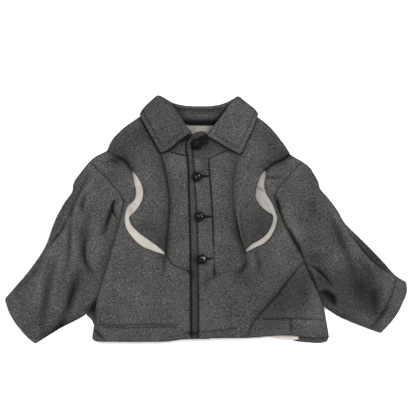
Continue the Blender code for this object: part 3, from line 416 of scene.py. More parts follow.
# Middles of the buttons, and the outer ends of their buttonholes
BUTTONS = mm(-32.2, 202, -29, 119, -22, 14.5, -15, -97)
HOLE_ENDS = mm(-2, 206.6, 4.5, 121.4, 9.8, 14.5, 11.5, -95)
BODY_FOLDS = folds(
    (10, 1, -112.2, -84.5, -114.8, -110.9, -118.8, -147.8),
    (3.4, 2.6, -112.2, -81.8, -114.6, -105.6, -118.8, -145.2),
    (10, 1.6, 120.1, -71.3, 133.3, -103, 137.3, -139.9),
    (4.6, 1.8, 121.4, -71.3, 132, -103, 138.6, -139.9),
    (7, 2.6, 103, -89.8, 97.7, -110.9, 84.5, -132, 66, -142.6),
    (8, 2.2, 13.2, -105.6, 17.2, -126.7, 21.1, -153.1),
    (4, 4.6, 147.8, 117.5, 166.3, 116.2, 192.7, 116.2),
    (6, 0.8, 110.9, -253.4, 118.8, -277.2, 108.2, -293),
    (6, 2, -277.2, 153.1, -253.4, 161, -227, 163.7),
    (3.4, 5.2, -295.7, -285.1, -282.5, -298.3, -269.3, -311.5),
    (4.2, 4.6, 215.2, -248.2, 217.8, -271.9, 219.1, -298.3),
    (5, 1.2, -84.5, -105.6, -66, -118.8, -47.5, -132),
    (12, 1.4, 60.7, -163.7, 92.4, -153.1, 124.1, -163.7),
    (10, 1.5, -13.2, -174.2, 10.6, -142.6, 26.4, -116.2),
    (16, 1.2, 184.8, -60.7, 216.5, -84.5, 240.2, -113.5),
    (6, 1.2, -232.3, 190.1, -216.5, 169, -203.3, 147.8),
    (5, 2, -100.3, 219.1, -89.8, 200.6, -89.8, 182.2),
    (5, 1.6, -76.6, 224.4, -68.6, 203.3, -71.3, 184.8),
    (2.4, -6, 73.9, 42.2, 82.9, -13.2, 97.7, -71.3),
)
BODY_PUFFS = [
    Puff(-0.150, 0.140, 0.050, 0.090, 0.0035),
    Puff(0.107, 0.140, 0.050, 0.090, 0.0035),
    Puff(-0.150, -0.190, 0.110, 0.080, 0.0030),
    Puff(0.070, -0.215, 0.080, 0.060, 0.0030),
]
RIPPLES = [Ripple(20, 0.061, 0.3, 0.00035), Ripple(75, 0.047, 1.9, 0.00030), Ripple(130, 0.083, 4.1, 0.00045),
           Ripple(165, 0.035, 2.2, 0.00018), Ripple(100, 0.115, 5.3, 0.00050)]
# Rows of stitching that hold the hems, in pairs of thread lines or alone
HEM_STITCHES = [
    mm(-285.1, -269.3, -232.3, -270.6, -179.5, -268, -126.7, -268.5, -84.5, -268.5),
    mm(-274.6, -275.9, -219.1, -277.2, -153.1, -275.9, -84.5, -274.6),
    mm(145.2, -254.8, 203.3, -253.4, 256.1, -253.4, 306.2, -256.1),
    mm(-21.1, -286.4, 15.8, -285.1, 52.8, -281.2, 73.9, -277.2),
    mm(-63.4, -289.1, -49, -289.1),
    mm(-63.4, -294.4, -49, -294.4),
]
STITCH_DIP = 0.0009         # how far a row of stitching draws the cloth in
STITCH_SPREAD = 0.0030
STITCH_SHADE = (0.40, 0.0028)       # how dark the painted shade along that row is, and how wide
PAINTED_SHADE_BASE = 0.15            # painted shade laid over all the open cloth, which painted highlights on ridges take away
FOLD_SHADE = 110            # painted shade for each metre of a fold's depth; a ridge's negative depth paints it lighter
DARKEST = 0.97              # as dark as the painted shade may be
BUTTON_SHADE = (0.40, 0.0150)       # how dark the painted shadow round a button is, and how far it reaches
HOLE_SPREAD = (0.0062, 0.0020)      # how wide the painted shade in a buttonhole's slit is at its button and at its end
SEAM_RIM = 0.40             # share of the cloth's thickness left at a rim away from the seams
REACH = 2.7                 # widths of a fold or groove beyond which it isn't felt


def nearest(run, flat):
    """How far each point is from a run, how far along it the nearest place lies, and on which side."""
    start = run[:-1]
    step = run[1:] - start
    away = flat[..., None, :] - start
    t = np.clip((away * step).sum(-1) / (step * step).sum(-1), 0, 1)
    apart = np.linalg.norm(away - t[..., None] * step, axis=-1)
    k = apart.argmin(-1)[..., None]
    cross = step[:, 0] * away[..., 1] - step[:, 1] * away[..., 0]
    pick = [np.take_along_axis(a, k, -1)[..., 0] for a in (apart, t, cross)]
    return pick[0], (k[..., 0] + pick[1]) / (len(run) - 1), np.sign(pick[2])


def smooth(low, high, value):
    """Goes softly from 0 at low to 1 at high."""
    s = np.clip((value - low) / (high - low), 0, 1)
    return s * s * (3 - 2 * s)


def bell(apart, width, power=2):
    """Falls softly from 1 on a line to 0 away from it."""
    return np.exp(-((apart / width) ** power))


def within(run, flat, reach):
    """Which points lie in the box round a run, widened by a reach."""
    return np.all((flat > run.min(axis=0) - reach) & (flat < run.max(axis=0) + reach), axis=-1)


def fold_depth(rows, flat):
    """Sum of the folds at each point, fading out to the ends of each fold."""
    depth = np.zeros(flat.shape[:-1])
    for fold in rows:
        run = curve(fold.path, 17)
        here = within(run, flat, REACH * fold.width)
        if here.any():
            apart, along, _ = nearest(run, flat[here])
            depth[here] += fold.depth * np.sin(math.pi * along) ** 0.7 * bell(apart, fold.width)
    return depth


def groove(runs, flat, depth, spread):
    """The deepest of some narrow dips, one along each run."""
    dip = np.zeros(flat.shape[:-1])
    for run in runs:
        here = within(run, flat, REACH * spread)
        if here.any():
            dip[here] = np.maximum(dip[here], depth * bell(nearest(run, flat[here])[0], spread))
    return dip


def unevenness(flat):
    """Slow small waves of cloth that never lies quite flat."""
    height = np.zeros(flat.shape[:-1])
    for row in RIPPLES:
        turn = math.radians(row.turn)
        along = flat[..., 0] * math.cos(turn) + flat[..., 1] * math.sin(turn)
        height += row.height * np.sin(2 * math.pi * along / row.wave + row.start)
    return height


BODY_EDGES = [curve(run, 30) for run in (SHOULDER_R, CAP_TOP_R, SHOULDER_L, CAP_TOP_L)]
BODY_SIDES = [(curve(run, 60), widening) for run, widening in ((SIDE_R, 0.0), (SIDE_L + FLANK_L[1:], 1.0))]
SEAM_RUNS = [curve(seam.run, 40) for seam in SEAMS]
LINE_RUNS = [curve(line.run, 24) for line in LINES]
HEM_LINES = [curve(run, 24) for run in HEM_STITCHES]
# Broad places where the cloth falls away or the light falls off, given painted half shade; a negative
# darkness is a painted highlight
BODY_SHADES = shades(
    (20, 0.3, 250.8, -116.2, 258.7, -163.7, 248.2, -211.2, 232.3, -258.7),
    (42, 0.36, 253.4, -110.9, 216.5, -184.8, 174.2, -248.2, 153.1, -295.7),
    (48, 0.44, 84.5, -63.4, 110.9, -26.4, 137.3, 10.6, 158.4, 52.8),
    (30, 0.08, -126.7, -95, -132, -179.5, -116.2, -290.4),
    (44, 0.3, -137.3, 269.3, -184.8, 221.8, -232.3, 195.4, -274.6, 184.8),
    (32, 0.26, 116.2, 253.4, 153.1, 211.2, 190.1, 179.5, 221.8, 158.4),
    (30, 0.18, 18.5, -58.1, 50.2, -84.5, 84.5, -108.2),
    (70, 0.24, -21.1, -232.3, 58.1, -205.9, 142.6, -142.6, 203.3, -105.6),
    (30, 0.3, -195.4, 21.1, -161, -21.1, -113.5, -73.9),
    (12, 0.1, -216.5, -285.1, -126.7, -301, -47.5, -295.7),
    (5, 0.85, -68.6, 211.2, -58.1, 218.6, -48.8, 225.5),
    (4, 0.5, -33, 212.5, -18.5, 216.5, 2.6, 217.8),
    (6, 0.26, -50.2, 195.4, -26.4, 191.4, 10.6, 198),
    (8.5, 0.55, -44.9, 203.3, -23.8, 204.6, 5.3, 209.9),
    (8, 0.26, -14.5, 171.6, -9.2, 147.8, -13.2, 121.4),
    (10, 0.32, -47.5, -84.5, -34.3, -97.7, -18.5, -110.9),
    (14, 0.14, -137.3, -47.5, -118.8, -71.3, -108.2, -105.6),
    (12, 0.22, 66, 21.1, 81.8, -47.5, 95, -92.4, 89.8, -121.4, 66, -147.8),
    (9, 0.26, -293, -227, -293, -269.3, -290.4, -316.8),
    (12, 0.2, -7.9, -100.3, -2.6, -139.9, -15.8, -184.8),
    (3.4, 0.6, -52.8, -289.1, -39.6, -290.4, -23.8, -287.8),
    (8, 0.28, -55.4, -126.7, -44.9, -134.6, -37, -145.2),
    (28, 0.16, -205.9, 163.7, -237.6, 121.4, -227, 79.2),
    (30, 0.1, -153.1, 137.3, -145.2, 44.9, -153.1, -47.5),
    (12, -0.2, 261.4, -137.3, 285.1, -200.6, 306.2, -301),
    (3.6, 0.34, -248.2, 176.9, -224.4, 166.3, -208.6, 149.2, -198, 129.4),
    (8, 0.16, -279.8, 147.8, -253.4, 159.7, -224.4, 155.8),
    (18, 0.14, -10.6, 158.4, -2.6, 58.1, 2.6, -79.2),
    (16, 0.12, 100.3, -58.1, 132, -37, 158.4, -7.9, 171.6, 21.1),
    (30, 0.06, -68.6, 137.3, -73.9, 31.7, -79.2, -73.9),
    (30, 0.1, 37, 137.3, 37, 31.7, 44.9, -87.1),
    (26, 0.1, -253.4, 216.5, -192.7, 229.7, -153.1, 216.5),
    (26, 0.1, 124.1, 242.9, 176.9, 216.5, 195.4, 176.9),
    (16, 0.08, 124.1, 68.6, 142.6, 95, 142.6, 121.4),
    (10, 0.16, -21.1, -293, 37, -293, 100.3, -290.4),
    (12, 0.12, 116.2, -279.8, 169, -277.2, 211.2, -279.8),
)


def seams_at(flat):
    """Dip, share of thickness left at a rim, and painted shade, from the seams near each point."""
    dip, dark = np.zeros(flat.shape[:-1]), np.zeros(flat.shape[:-1])
    rim = np.full(flat.shape[:-1], SEAM_RIM)
    for seam, run in zip(SEAMS, SEAM_RUNS):
        here = within(run, flat, SEAM_REACH * SEAM_BED_SPREAD)
        if here.any():
            apart, _, side = nearest(run, flat[here])
            close = bell(apart, SEAM_SPREAD)
            bed = bell(apart * (1 - SEAM_LEAN * seam.lean * side), SEAM_BED_SPREAD)
            dip[here] = np.maximum(dip[here], seam.dip * close + seam.bed * bed)
            dark[here] = np.maximum(dark[here], seam.dark * bell(apart, seam.width) + seam.shade * bed)
            rim[here] += (seam.rim - rim[here]) * close
    return dip, rim, dark


def front_lie(flat, *shares):
    """Height of the underside of the fronts at each point."""
    edge_apart = np.min([nearest(run, flat)[0] for run in BODY_EDGES], axis=0)
    for run, widening in BODY_SIDES:
        apart, along, _ = nearest(run, flat)
        width = UNDERARM_ROLL + widening * (1 - UNDERARM_ROLL) * smooth(0.0, UNDERARM_END, along)
        edge_apart = np.minimum(edge_apart, apart / width)
    roll = np.sin(0.5 * math.pi * np.clip(edge_apart / EDGE_ROLL, 0, 1))
    dip = (seams_at(flat)[0] + fold_depth(BODY_FOLDS, flat)
           + groove(HEM_LINES, flat, STITCH_DIP, STITCH_SPREAD))
    swell = unevenness(flat)
    for puff in BODY_PUFFS:
        across = (flat[..., 0] - puff.x) / puff.reach_x
        along = (flat[..., 1] - puff.y) / puff.reach_y
        swell = swell + puff.height * np.exp(-(across**2) - along**2)
    return CLOTH + SEAM_GAP + roll * (BODY_RISE - dip + swell)


def lap(flat):
    """How much higher the left front lies than the right one."""
    return LAP * (1 - smooth(*LAP_END, flat[..., 0]))


def left_lie(flat, *shares):
    """Height of the underside of the left front, which closes over the right."""
    return front_lie(flat) + lap(flat)


def edge(*runs):
    """An edge of a panel as a function of the share along it; each run is a table with its rows."""
    points, numbers, first = [], [], 0
    for table, rows in runs:
        shares = np.linspace(0, 1, rows) if np.isscalar(rows) else np.asarray(rows)
        steps = len(shares) - 1
        fine = np.linspace(0, steps, 16 * steps + 1)
        points.append(curve(table, np.interp(fine, np.arange(steps + 1), shares)))
        numbers.append(first + fine)
        first += steps
    points = np.concatenate(points)
    numbers = np.concatenate(numbers) / first
    return lambda share: np.stack([np.interp(share, numbers, column) for column in points.T], axis=-1)


def patch(*edges):
    """Fills four edges, left, right, top and bottom, each a function or the runs of one: gives (x, y) at
    shares u from left to right and v from top to bottom."""
    left, right, top, bottom = [side if callable(side) else edge(*side) for side in edges]

    def place(u, v):
        u, v = np.broadcast_arrays(u, v)
        across = u[..., None]
        down = v[..., None]

        def row(at):
            return (1 - across) * left(at) + across * right(at)

        return (row(v) + (top(u) - row(np.zeros_like(v))) * (1 - down) ** EDGE_FADE
                + (bottom(u) - row(np.ones_like(v))) * down**EDGE_FADE)
    return place


def spread(width, count):
    """Shares across a width in metres, close together at both rims, where the cloth rounds off."""
    width = np.asarray(width, float)[..., None]
    rim = RIM / width * np.minimum(1, RIM_SHARE * width / RIM[-1])
    inner = rim[..., -1:] + (1 - 2 * rim[..., -1:]) * np.linspace(0, 1, count)
    return np.concatenate([rim[..., :-1], inner, 1 - rim[..., -2::-1]], axis=-1)


def rounded(inset, radius, rim):
    """Share of the cloth's thickness at a distance in from its rim, where a share is left."""
    s = np.clip(inset / radius, 0, 1)
    return rim + (1 - rim) * np.sqrt(1 - (1 - s) ** 2)


def body_painted_shade(flat, inset):
    """Painted shade where little light gets in: in seams, folds and stitching, along edges, round the
    buttons, in buttonholes and in broad half shades; ridges are painted lighter.
    """
    dark = seams_at(flat)[2]
    for line, run in zip(LINES, LINE_RUNS):
        dark = np.maximum(dark, groove([run], flat, line.dark, line.width))
    for spot, hole_end in zip(BUTTONS, HOLE_ENDS):
        dark = dark + BUTTON_SHADE[0] * bell(np.linalg.norm(flat - spot, axis=-1), BUTTON_SHADE[1], 6)
        apart, along, _ = nearest(np.array([spot, hole_end]), flat)
        reach = HOLE_SPREAD[0] + (HOLE_SPREAD[1] - HOLE_SPREAD[0]) * along
        dark = np.maximum(dark, DARKEST * bell(apart, reach, 4))
    dark = dark + groove(HEM_LINES, flat, *STITCH_SHADE) + fold_depth(BODY_SHADES, flat)
    return PAINTED_SHADE_BASE + dark + FOLD_SHADE * fold_depth(BODY_FOLDS, flat)


def length_of(path):
    """Length of a run of points, along the second axis from the end."""
    return np.linalg.norm(np.diff(path, axis=-2), axis=-1).sum(-1)


def cloth(name, low, high, finish, slot, node, rests_on, hollow):
    """A closed wall of cloth between two like grids."""
    rows, columns = low.shape[:2]
    count = rows * columns
    number = np.arange(count).reshape(rows, columns)
    quads = np.stack([number[:-1, :-1], number[:-1, 1:], number[1:, 1:], number[1:, :-1]], axis=-1)
    quads = quads.reshape(-1, 4)
    rim = np.concatenate([number[0, :-1], number[:-1, -1], number[-1, :0:-1], number[:0:-1, 0]])
    ahead = np.roll(rim, -1)
    sides = np.stack([rim, ahead, ahead + count, rim + count], axis=-1)
    points = np.concatenate([low.reshape(-1, 3), high.reshape(-1, 3)])
    faces = np.concatenate([quads[:, ::-1], quads + count, sides]).tolist()
    dark = np.tile(np.clip(hollow, 0, DARKEST).ravel(), 2)
    piece = add_piece(name, points, faces, finish, [node], dark)
    middle = (low + high) / 2
    area = np.linalg.norm(np.cross(middle[1:, 1:] - middle[:-1, :-1], middle[1:, :-1] - middle[:-1, 1:]),
                          axis=-1).sum() / 2
    width = length_of(middle).max()
    length = max(length_of(middle.swapaxes(0, 1)).max(), area / width)


def at_height(flat, height):
    """A flat grid lifted to the given heights."""
    return np.concatenate([flat, np.broadcast_to(height, flat.shape[:-1])[..., None]], axis=-1)


def panel(name, place, lie, node, rests_on, thickness=CLOTH, pitch=0.0024, folded=False,
          finish=wool_cloth, slot="wool", hollow=body_painted_shade):
    """A panel of cloth; place gives its (x, y) and lie the height of its underside. A folded rim is
    round above and below, and a seamed one only above."""
    ends = np.linspace(0, 1, 60)
    length = max(length_of(place(share, ends)) for share in (0.0, 0.5, 1.0))
    v = spread(length, max(int(length / pitch), 6))
    width = np.linalg.norm(place(1.0, v) - place(0.0, v), axis=-1)
    u = spread(width, max(int(width.max() / pitch), 5))
    flat = place(u, v[:, None])
    inset = np.minimum(np.minimum(u, 1 - u) * width[:, None], np.minimum(v, 1 - v)[:, None] * length)
    low = lie(flat, u, np.broadcast_to(v[:, None], u.shape))
    if folded:
        share = rounded(inset, FOLDED_ROUND * thickness, FOLDED_MEET)
        low, high = low + thickness * (1 - share), low + thickness * share
    else:
        radius = min(RIM_ROUND_WIDTH, THIN_ROUND * thickness)
        high = low + thickness * rounded(inset, radius, seams_at(flat)[1])
    cloth(name, at_height(flat, low), at_height(flat, high), finish, slot, node, rests_on,
          hollow(flat, inset))


panel("front_bib_right", patch([(PRINCESS_R, 16)], [(EDGE_LEFT_BIB, 16)],
                               [(BIB_TOP_R, 6)], [(BIB_HEM_R, 6)]),
      front_lie, "bib_right", ["back_panel"])
panel("front_bib_left", patch([(BAND_RIGHT, 16)], [(PRINCESS_L, 16)],
                              [(BIB_TOP_L, 8)], [(BIB_HEM_L[::-1], 8)]),
      left_lie, "bib_left", ["back_panel"])
for side, shoulder, cap_seam, slit_in, neck, princess, lie in (
        ("right", SHOULDER_R, CAP_SEAM_R, SLIT_IN_R, NECK_R, PRINCESS_R, front_lie),
        ("left", SHOULDER_L, CAP_SEAM_L, SLIT_IN_L, NECK_L, PRINCESS_L, left_lie)):
    panel("front_side_" + side, patch([(cap_seam, 7), (slit_in, 18)], [(neck, 9), (princess, 16)],
                                      [(shoulder, 7)], [([slit_in[-1], princess[-1]], 7)]),
          lie, "side_front_" + side, ["back_panel"])

# Rows of an outer front are level with each other at the underarm
ARMHOLE_ROWS = np.array([0.0, 0.03, 0.09, 0.16, 0.27, 0.40, 0.53, 0.66, 0.78, 0.88, 0.95, 1.0])
SLIT_ROWS = np.concatenate([np.linspace(0, 0.28, 6), np.linspace(0.28, 1, 13)[1:]])
panel("front_outer_right", patch(
    [(ARMHOLE_R, ARMHOLE_ROWS), (SIDE_R, 27)],
    [(CAP_SEAM_R, 7), (SLIT_OUT_R, SLIT_ROWS), ([SLIT_OUT_R[-1], BIB_HEM_R[0]], 2), (BIB_HEM_R, 6),
     (EDGE_LEFT_LOW, 9)], [(CAP_TOP_R[::-1], 9)], [(HEM_R, 9)]),
      front_lie, "outer_front_right", ["back_panel"])
panel("front_outer_left", patch(
    [(CAP_SEAM_L, 7), (SLIT_OUT_L, SLIT_ROWS), ([SLIT_OUT_L[-1], BIB_HEM_L[0]], 2), (BIB_HEM_L, 8),
     (BAND_HEM[::-1], 4), (EDGE_RIGHT_LOW, 7)],
    [(ARMHOLE_L, ARMHOLE_ROWS), (SIDE_L, 7), (SLANT_L, 24)], [(CAP_TOP_L, 9)], [(HEM_L, 9)]),
      left_lie, "outer_front_left", ["back_panel"])
SIDE_TIP = 0.006            # the side panel's point is cut off a little below the seams' crossing
slant_top = np.array(SLANT_L[0])
apex = [slant_top - (SIDE_TIP / 2, SIDE_TIP / 2), slant_top + (0.0, -SIDE_TIP)]
panel("front_side_panel", patch([(np.vstack([apex[:1], curve(SLANT_L, 24)[1:]]), 24)],
                                [(np.vstack([apex[1:], curve(FLANK_L, 24)[1:]]), 24)],
                                [(apex, 8)], [(HEM_FLANK_L, 8)]),
      front_lie, "side_panel_left", ["back_panel"])


# Closing: a stitched edge strip and a button band of the left front lie over the underlap of the right
# one, all of the same wool, seamed together and pressed.
STAND_FOOT = 0.0146         # height of the collar stand at its seam
STAND_SLOPE = 0.20          # its rise towards the neck
STAND_RISE = 0.0130         # its greatest rise above the foot
UNDERLAP_WIDTH = 0.048
UNDERLAP_CUT = (0.010, 0.04)        # how far its inner end stops below the neck, over a share of it
STRIP_SHADE = (0.25, 0.18)  # how dark the strip looks, and how much darker below the last button
STRIP_LOW = (-0.14, -0.05)  # the places on Y between which it goes over


def stand_lie(flat, *shares):
    """Height of the underside of the collar stand in front."""
    return STAND_FOOT + np.clip(STAND_SLOPE * (flat[..., 1] - BAND_TOP[-1][1]), 0, STAND_RISE)


def closing_lie(flat, *shares):
    """Underside of the closing: on the stand at the neck, on the underlap below it."""
    return np.maximum(front_lie(flat), stand_lie(flat)) + LAP


def strip_darkening(flat, inset):
    """The strip is darker all over, and darker still below the last button, on top of the painted shade of
    the body.
    """
    low = STRIP_SHADE[1] * (1 - smooth(*STRIP_LOW, flat[..., 1]))
    return STRIP_SHADE[0] + low + body_painted_shade(flat, inset)


panel("closing_strip", patch([(EDGE_LEFT, 12), (EDGE_LEFT_BIB, 16), (EDGE_LEFT_LOW, 9)],
                             [(TAB_LOW + EDGE_RIGHT[1:], 12), (EDGE_RIGHT_BAND, 19), (EDGE_RIGHT_LOW, 6)],
                             [(TAB_END, 5)], [([EDGE_LEFT_LOW[-1], EDGE_RIGHT_LOW[-1]], 3)]),
      closing_lie, "front_edge_strip", ["underlap"], pitch=0.002, folded=True, hollow=strip_darkening)
panel("closing_band", patch([(EDGE_RIGHT_BAND, 19)], [(BAND_RIGHT, 19)], [(BAND_TOP, 5)], [(BAND_HEM, 5)]),
      closing_lie, "button_band", ["underlap"], pitch=0.002)
underlap_left = edge((EDGE_LEFT_BIB, 16), (EDGE_LEFT_LOW, 9))


def underlap_right(share):
    """Inner edge of the underlap, cut off a little below the neck."""
    run = underlap_left(share) + (UNDERLAP_WIDTH, 0.0)
    run[..., 1] -= UNDERLAP_CUT[0] * (1 - smooth(0.0, UNDERLAP_CUT[1], share))
    return run


across = [[([underlap_left(end), underlap_right(np.array(end))], 4)] for end in (0.0, 1.0)]
panel("closing_underlap", patch(underlap_left, underlap_right, *across), front_lie, "underlap",
      ["back_panel"], pitch=0.004)


# Collar stand and collar: the stand's two ends cross under the top button and its back part closes the
# neck behind. The leaves are two layers of wool, turned over the stand along a soft roll, and
# topstitched inside their edges.
COLLAR_CLOTH = 0.0045       # two layers of wool, pressed together
COLLAR_HEIGHT = 0.0315      # top of the collar's roll at the back
STAND_BACK_TUCK = 0.0102    # from the crest of the roll in to the seam of the stand
STAND_BACK_DROP = 0.0082    # from the top of the roll down to that seam
STAND_BACK_BEND = 1.25      # how it bends on its way down to the back panel
STAND_ENDS_R = (-0.130, -0.105)     # places on X between which the stand runs out under the right leaf
STAND_ENDS_L = (0.065, 0.090)       # and under the left leaf
# Painted shade deep inside the neck: how dark, and the places on Y where each begins and is full
NECK_SHADES = [(0.14, 0.272, 0.256), (0.66, 0.277, 0.265)]
END_HEIGHT = 0.0060         # height of the roll where it ends under the leaves
COLLAR_STITCH = 0.0125      # from a leaf's edge in to its stitching
CORNER_ROUND = 0.006        # rounding of a leaf's corners
LEAF_BEND = 0.003           # how softly a leaf bends where it comes to rest
LEAF_HANG = 1.5             # how its height falls from the roll to its edge
LEAF_WAVES = 0.4            # share of the cloth's unevenness in a leaf
LEAF_DIP = (1.5 * STITCH_DIP, 0.0026)       # how far its stitching draws it in, and how wide
LEAF_RIM_SHADE = (0.30, 0.0022)     # how dark the painted shade at its edge is, and how wide
LEAF_SEWN_SHADE = (0.27, 0.0024)    # and along its stitching
LEAF_SEWN_FROM = (0.010, 0.020)     # distances from the roll between which that painted shade begins
LEAF_SEWN = (0.10, 0.98)    # shares of a leaf between which it is sewn
COLLAR_SHADE = 0.22         # painted shade on the stand and the back of the collar, under the leaves and the roll
ROLL_R = mm(-41.5, 234.5, 30, -53, 246.5, 32.2, -62.5, 261, 33.2, -78, 284.5, 33.5, -105.5, 319, 33.5,
            -130.5, 333, 32.5, columns=3)
ROLL_L = mm(-2.5, 223.5, 33, 15.5, 252, 36, 38.5, 282.5, 35, 62, 315, 33.5, 78.5, 330.5, 32.5, columns=3)
LEAF_TOP_R = mm(-130.5, 333, -157, 310, -172.5, 294.5, -179, 285.5)
LEAF_TOP_L = mm(78.5, 330.5, 104, 310.5, 122.5, 296.5, 133, 284.5)
CREST_BACK = mm(-130.5, 333, -113.5, 324, -90, 311.5, -58, 304.5, -21, 303, 16, 304.5, 45, 311.5, 63.5, 321,
                78.5, 330.5)
STAND_TOP_R = mm(-82, 266.5, -63, 248, -50, 234.5, -38, 230, -20, 232.5, -10.5, 233, -2.5, 231)
STAND_FOOT_R = mm(-113, 184.7, -105.5, 184.5, -79, 178.5, -54, 171.5, -29, 168.5, -4.5, 170)
STAND_TOP_L = mm(-22.4, 220.4, -13.7, 222, -5.3, 224.4, 0.5, 233, 12, 247.5, 29, 270.5)
STAND_LOW_BACK = mm(-84.5, 278, -55.5, 258, -21, 254.7, 13, 254.7, 37, 276)


def stand_left_lie(flat, *shares):
    """The left end of the stand, a layer above the right end."""
    return stand_lie(flat) + lap(flat)


def stand_painted_shade(flat, inset):
    """The stand lies in the painted half shade of the leaves."""
    return COLLAR_SHADE + body_painted_shade(flat, inset)


panel("stand_end_right", patch([([STAND_TOP_R[0], STAND_FOOT_R[0]], 6)],
                               [([STAND_TOP_R[-1], STAND_FOOT_R[-1]], 6)],
                               [(STAND_TOP_R, 13)], [(STAND_FOOT_R, 13)]),
      stand_lie, "stand_right", ["bib_right"], pitch=0.002, hollow=stand_painted_shade)
panel("stand_end_left", patch([(EDGE_RIGHT, 6)], [([STAND_TOP_L[-1], BIB_TOP_L[-1]], 6)],
                              [(STAND_TOP_L, 12)], [(BAND_TOP, 5), (BIB_TOP_L, 8)]),
      stand_left_lie, "stand_left", ["stand_right"], pitch=0.002, hollow=stand_painted_shade)
crest_back = curve(CREST_BACK, np.linspace(0.17, 0.83, 61))
stand_seam = crest_back + STAND_BACK_TUCK * square_to(np.gradient(crest_back, axis=0))


def stand_back_lie(flat, u, v):
    """The stand behind the neck, from its seam with the roll down to the back panel."""
    top = COLLAR_HEIGHT - STAND_BACK_DROP
    return top - (top - CLOTH - SEAM_GAP) * v**STAND_BACK_BEND


def stand_back_painted_shade(flat, inset):
    """Painted shade, darker down to its foot, deep inside the neck."""
    return sum((dark * smooth(*ends, flat[..., 1]) for dark, *ends in NECK_SHADES), COLLAR_SHADE)


panel("stand_behind", patch([([stand_seam[0], STAND_LOW_BACK[0]], 5)],
                            [([stand_seam[-1], STAND_LOW_BACK[-1]], 5)],
                            [(stand_seam, 15)], [(STAND_LOW_BACK, 15)]),
      stand_back_lie, "stand_back", ["back_panel"], pitch=0.002, hollow=stand_back_painted_shade)


def leaf(side, roll, leaf_edge, leaf_top, leaf_low, shade, support):
    """A collar leaf from its roll to its outer edge, resting on what lies below it. Gives the two lines
    of stitching inside its free edges."""
    roll_run = edge((roll, 11))
    roll_line = curve(roll, 24)[:, :2]
    square_leaf = patch(lambda share: roll_run(share)[..., :2], [(leaf_edge, 11)],
                        [(leaf_low, 9)], [(leaf_top, 9)])
    long_way = float(length_of(square_leaf(1.0, np.linspace(0, 1, 40))))
    wide_way = float(np.linalg.norm(square_leaf(1.0, 0.5) - square_leaf(0.0, 0.5)))

    def place(u, v):
        """The leaf with its corners rounded off."""
        u, v = [share.copy() for share in np.broadcast_arrays(np.asarray(u, float), np.asarray(v, float))]
        for corner_u, corner_v in ((1, 0), (1, 1), (0, 1)):
            p = CORNER_ROUND - np.abs(corner_u - u) * wide_way
            q = CORNER_ROUND - np.abs(corner_v - v) * long_way
            near = (p > 0) & (q > 0)
            shrink = np.where(near, np.maximum(p, q) / np.hypot(np.where(near, p, 1), q), 1.0)
            u = np.where(near, np.abs(corner_u - (CORNER_ROUND - p * shrink) / wide_way), u)
            v = np.where(near, np.abs(corner_v - (CORNER_ROUND - q * shrink) / long_way), v)
        return square_leaf(u, v)

    def lie(flat, u, v):
        rest = support(flat) + LAYER_GAP
        rest_at_edge = support(place(np.ones_like(u), v)) + LAYER_GAP
        hang = roll_run(v)[..., 2] * (1 - u**LEAF_HANG) + rest_at_edge * u**LEAF_HANG
        height = (hang + rest + np.sqrt((hang - rest) ** 2 + LEAF_BEND**2)) / 2
        inset = np.minimum((1 - u) * wide_way, v * long_way)
        sewn = LEAF_DIP[0] * bell(inset - COLLAR_STITCH, LEAF_DIP[1])
        return height - sewn + LEAF_WAVES * unevenness(flat)

    def leaf_painted_shade(flat, inset):
        """Painted shade along the edge and along the stitching, as far as the roll."""
        sewn_in = np.minimum(*[nearest(curve(run, 24), flat)[0] for run in (leaf_edge, leaf_low)])
        sewn = bell(sewn_in - COLLAR_STITCH, LEAF_SEWN_SHADE[1])
        sewn = sewn * smooth(*LEAF_SEWN_FROM, nearest(roll_line, flat)[0])
        rim = LEAF_RIM_SHADE[0] * bell(inset, LEAF_RIM_SHADE[1])
        return PAINTED_SHADE_BASE + shade + rim + LEAF_SEWN_SHADE[0] * sewn

    panel("collar_" + side, place, lie, "collar_leaf_" + side, ["stand_" + side], thickness=COLLAR_CLOTH,
          pitch=0.0018, folded=True, hollow=leaf_painted_shade)
    near = COLLAR_STITCH / long_way
    out = 1 - COLLAR_STITCH / float(np.linalg.norm(place(1.0, near) - place(0.0, near)))
    ends = np.linspace(0, 1, 40)
    return [place(LEAF_SEWN[0] + (out - LEAF_SEWN[0]) * ends, near),
            place(out, near + (LEAF_SEWN[1] - near) * ends)]


def upper(lie, stand, share):
    """Top of a front, and of the stand on it for a share."""
    return lie + np.clip(stand - lie, 0, None) * share + CLOTH


# The right leaf gets 0.19 more painted shade all over than the left one
sewn_right = leaf("right", ROLL_R, LEAF_EDGE_R, LEAF_TOP_R, LEAF_LOW_R, 0.19, lambda flat: upper(
    front_lie(flat), stand_lie(flat), smooth(*STAND_ENDS_R, flat[..., 0])))
sewn_left = leaf("left", ROLL_L, LEAF_EDGE_L, LEAF_TOP_L, LEAF_LOW_L, 0.0, lambda flat: upper(
    left_lie(flat), stand_left_lie(flat), 1 - smooth(*STAND_ENDS_L, flat[..., 0])))

